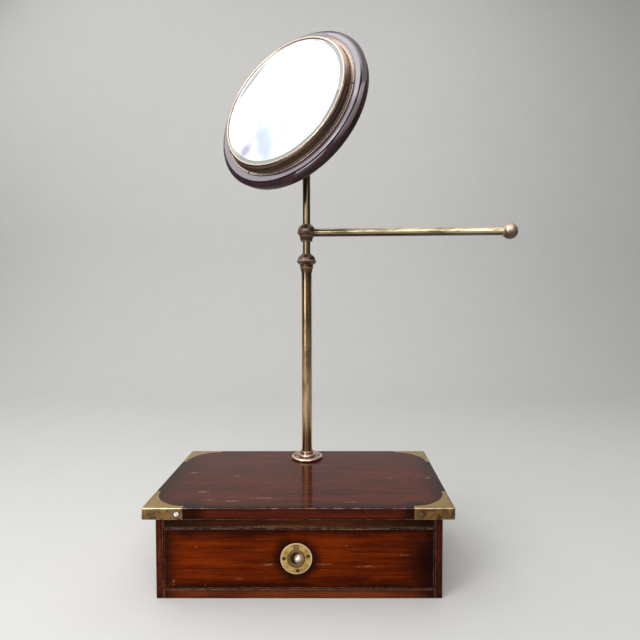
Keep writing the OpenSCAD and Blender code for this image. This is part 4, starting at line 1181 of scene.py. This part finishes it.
# Mirror. A turned mahogany back carries a bevelled silvered glass over a packing board, under a spun
# brass bezel held by three small screws. A brass plate with a tongue behind it hangs in the fork.
mirror = pivot @ spin(90 - head_tilt, "X")
glass_r = 83.6
glass_t = 4.0
bevel_w = 5.4
bevel_d = 0.9
bezel_r = glass_r + 7.6
wood_r = bezel_r + 12.4
wood_edge = 5.2
head_stand = 25.0
wood_front = head_stand + 15
glass_back = wood_front + 6.2
glass_front = glass_back + glass_t
bezel_top = wood_front + 1.4
step_h = 0.6
flat_r = wood_r - wood_edge
plate_back = head_stand - 2.5

wood_profile = ([(0, head_stand), (flat_r - 1, head_stand)]
                + arc((flat_r - 1, head_stand + wood_edge), wood_edge, -88, -28, 10)
                + curve((wood_r, wood_front - 5), (wood_r, wood_front - 3), (flat_r, wood_front - step_h), 18)
                + beside(flat_r, wood_front, (-0.15, -step_h), (-0.35, 0.15 - step_h), (-0.5, -0.15), (-0.8, 0))
                + [(bezel_r + 2, wood_front), (0, wood_front)])
bezel_screw_places = [mirror @ spin(turn) @ shift(bezel_r - 1.4, 0, bezel_top) @ spin(40) for turn in (3, 125, 248)]
back_screw_places = [mirror @ spin(45 + 90 * i) @ shift(16, 0, plate_back) @ spin(180, "X") @ spin(30 + 40 * i)
                     for i in range(4)]
back = drilled(turned("turned_mirror_back", wood_profile, mirror, steps=160), bezel_screw_places, 0.8, 0.8, 7.2)
drilled(back, back_screw_places, 1.2, 1.2, 10.2)

dark_wood = Finish("mirror_back_polish", {"Specular IOR Level": 0.1, "Coat IOR": 2.5, "Coat Roughness": 0.06})
spread = dark_wood.spread
out, up = around(dark_wood, mirror)[:2]
streaks = dark_wood.clouds(5, (9, 1, 9), 2.0, 5, 0.6, 0.8)
fleck = spread(dark_wood.clouds(0.6, (6, 1, 6), 4.0, 2), 0.6, 0.7)
haze = dark_wood.clouds(20, seed=6.0, detail=4)
ragged = haze - 0.5
height = dark_wood.parts(dark_wood.place)[2] + ragged * 30
on_front = spread(up, wood_front - 2, wood_front - 1)
roundover_shade = spread(up + ragged * 3, head_stand + 13, head_stand + 9.5) * spread(out, flat_r - 3, flat_r)
groove = spread(abs(out - flat_r - 0.4) + ragged * 0.6, 1.2, 0.6) * spread(height, 556, 530)
rub = spread(abs(out - wood_r) + ragged * 3, 1.2, 0) * 0.2
# The front face is painted a lighter violet brown, a painted reflection of the pale light it faces. The rounded side
# behind it is painted near black, a painted shade, and the step at the front face's edge is painted dark on the lower
# part only, a painted shade. The outer edge is painted reddish, part wear and part painted highlight.
tone = dark_wood.over(rgb(40, 26, 40), (spread(streaks, 0.36, 0.66), rgb(60, 35, 38)), (fleck * 0.5, rgb(30, 16, 14)),
                      (on_front, rgb(76, 52, 68)), (roundover_shade * 0.8, rgb(12, 7, 8)), (groove * 0.9, rgb(12, 6, 9)),
                      (rub, rgb(112, 66, 48)))
side_lacquer = spread(up, head_stand + 9.5, head_stand + 11) * spread(height, 450, 520) * 0.38 + 0.04
lacquered = (on_front * (0.8 + haze * 0.4)).most(side_lacquer) * (1 - groove)
dark_wood.plug(base_color=tone, coat_weight=lacquered, roughness=0.3 + ragged * 0.14 + fleck * 0.08 + rub * 0.3)
dark_wood.relief(streaks * 0.03 + fleck * -0.015)
hand_over(back, dark_wood, "wooden_back")

packing = eased(straight(glass_r, wood_front, glass_back), 0.4)
turn_out("packing_disc", "packing_board", packing, mirror, bare_wood("packing_pine", "packing_board", 2, 11.0), 96,
         ring=False)

glass_profile = ([(0, glass_back)] + beside(glass_r, glass_back, (-0.3, 0), (0, 0.3))
                 + beside(glass_r, glass_front - bevel_d, (0, -0.1), (-0.15, 0.02))
                 + beside(glass_r - bevel_w, glass_front, (0.12, -0.06), (-0.1, 0)) + [(0, glass_front)])
glass = turned("bevelled_glass", glass_profile, mirror, steps=192)
silver = Finish("silvered_glass", {"Metallic": 1.0})
spread = silver.spread
out, up, across, upward = around(silver, mirror)
film = silver.clouds(30, seed=4.0, detail=4, rough=0.6) - 0.5
painted_sky_wisps = spread(silver.clouds(24, seed=9.0, detail=4), 0.5, 0.72)


def painted_reflection_patch(x, y, half_x, half_y, ragged, lean=0.0):
    """A painted reflection on the silvering, an oval with a ragged edge."""
    aside = across - x - (upward - y) * lean
    return spread(((aside / half_x) ** 2 + ((upward - y) / half_y) ** 2) ** 0.5 + film * ragged, 1.7, 0.2)


# Pale blue and lilac patches and wisps on the silvering are painted reflections of the sky. The bevel is painted grey
# away from the upper left, a painted reflection, and a grey crescent inside the rim at the upper left is a painted
# shade. The small dark spots near the rim are foxing.
on_bevel = spread(out, glass_r - bevel_w - 0.1, glass_r - bevel_w + 0.1)
high_left = upward * 0.584 - across * 0.812
strip = silver.mix(spread(upward, -45, 25), rgb(150, 158, 150), rgb(134, 138, 140))
painted_shade_crescent = spread(high_left + film * 1.5, 69.2, 70.0) * spread(out, 76.6, 76.0)
foxing = silver.marks(7, 1.3, 0.16, seed=3.0) * spread(out, glass_r - 9, glass_r - 3)
tone = silver.over(rgb(247, 250, 251), (painted_sky_wisps * 0.5, rgb(226, 238, 247)),
                   (painted_reflection_patch(-10, -58, 16, 46, 1.6, -0.5) * 0.9, rgb(188, 198, 216)),
                   (painted_reflection_patch(16, -40, 18, 20, 3.0) * 0.7, rgb(196, 220, 222)),
                   (painted_reflection_patch(-38.5, -59.5, 8.5, 10.0, 0.2, 0.1), rgb(176, 174, 192)),
                   (on_bevel * spread(high_left, 50, -10), strip), (painted_shade_crescent, rgb(174, 178, 180)),
                   (foxing * 0.8, rgb(96, 90, 82)))
silver.plug(base_color=tone, roughness=0.015 + painted_sky_wisps * 0.02 + foxing * 0.3)
hand_over(glass, silver, "mirror_glass", crease=8)

rebate_r = glass_r + 0.2
lip_w = 2.0
lip_r = glass_r - lip_w
lip_z = glass_front - bevel_d * (bevel_w - lip_w) / bevel_w + 0.15
lip_top = lip_z + 0.9
bezel_in = bezel_r - 2.8
roll_mid = lip_r + 1.3
roll_w = 3.6
roll_z = lip_z - 2.8
roll_h = lip_top - roll_z
roll = [radians(turn) for turn in range(4, 97, 6)]
bezel_profile = ([(rebate_r, wood_front)] + beside(bezel_r, wood_front, (-0.1, 0), (0, 0.1))
                 + arc((bezel_r - 0.35, bezel_top - 0.35), 0.35, 0, 80, 5)
                 + beside(bezel_r, bezel_top, (-0.7, -0.05), (-0.85, -0.4), (-1.15, -0.4), (-1.3, -0.05))
                 + beside(bezel_in, bezel_top, (0.5, 0), (0.2, -0.05))
                 + curve((bezel_in, bezel_top - 0.15), (rebate_r + 2.7, bezel_top), (rebate_r + 2.6, roll_z - 0.4), 14)
                 + [(roll_mid + roll_w * cos(turn), roll_z + roll_h * sin(turn)) for turn in roll]
                 + beside(lip_r, lip_top, (0.15, -0.45), (0, -0.7)) + [(lip_r, lip_z), (rebate_r, lip_z)])
bezel = drilled(turned("spun_bezel", bezel_profile, mirror, steps=192, ring=True), bezel_screw_places, 1.45, 0.75, 3)
# The bezel's outer top edges and the lip by the glass are painted pale, part rubbed brass and part painted highlights
# and reflection. The cove and the groove under the outer edge are painted dark, a painted shade, the joint with the
# wood is dark, and the lower part is painted darker, a painted shade.
bezel_finish = patina("bezel_patina", mirror, tone=rgb(222, 196, 176), glow=rgb(214, 196, 184),
                      blotch=rgb(204, 172, 146), deep=rgb(50, 27, 8), seed=33.0, rough=0.25,
                      bright=((bezel_r - 0.3, bezel_top, 0.5), (bezel_r - 1.9, bezel_top, 0.8),
                              (lip_r + 1.2, lip_top, 2.0)),
                      dark=((rebate_r + 3.4, bezel_top + 1.4, 2.2), (bezel_r - 1.0, bezel_top - 0.4, 0.4),
                            (bezel_r + 0.3, wood_front, 0.7)),
                      painted_shade_below=(528, 566))
hand_over(bezel, bezel_finish, "bezel")
drive_screws("bezel_screws_driven", "bezel_screws", bezel_screw_places,
             screw_metal("bezel_screw_steel", rgb(22, 14, 9), seed=12.0), 1.35, 0.7, 6.4, slot=(0.5, 0.4), soft=0.06)

plate_r = 22.0
hang_profile = ([(0, head_stand), (plate_r, head_stand)]
                + beside(plate_r, plate_back, (0, 0.8), (-0.25, 0.3), (-0.9, 0)) + [(0, plate_back)])
hang = turned("tilting_plate", hang_profile, steps=96)
tongue = turned("tongue", chamfered(0, tongue_r, -tongue_half, tongue_half, 0.4), crosswise, steps=56)
carve(hang, block("tongue_stem", (-tongue_half, -tongue_r, 0), (tongue_half, tongue_r, head_stand - 1.2)), tongue,
      operation="UNION")
carve(hang, peg("bore", bolt_r + slip, -9, 9, crosswise))
drilled(placed(softened(hang, 0.3, 2, 45), mirror), back_screw_places, countersink_r + 0.05, 1.2, 4)
hang_finish = patina("tilting_plate_patina", mirror, tone=rgb(158, 124, 84), glow=rgb(220, 184, 126), seed=36.0,
                     bright=((plate_r, head_stand - 2.3, 1.0),))
hand_over(hang, hang_finish, "back_plate")
drive_screws("back_plate_screws_driven", "back_plate_screws", back_screw_places,
             screw_metal("back_screw_brass", rgb(120, 94, 62), seed=15.0), countersink_r, shank_r, 8.6)
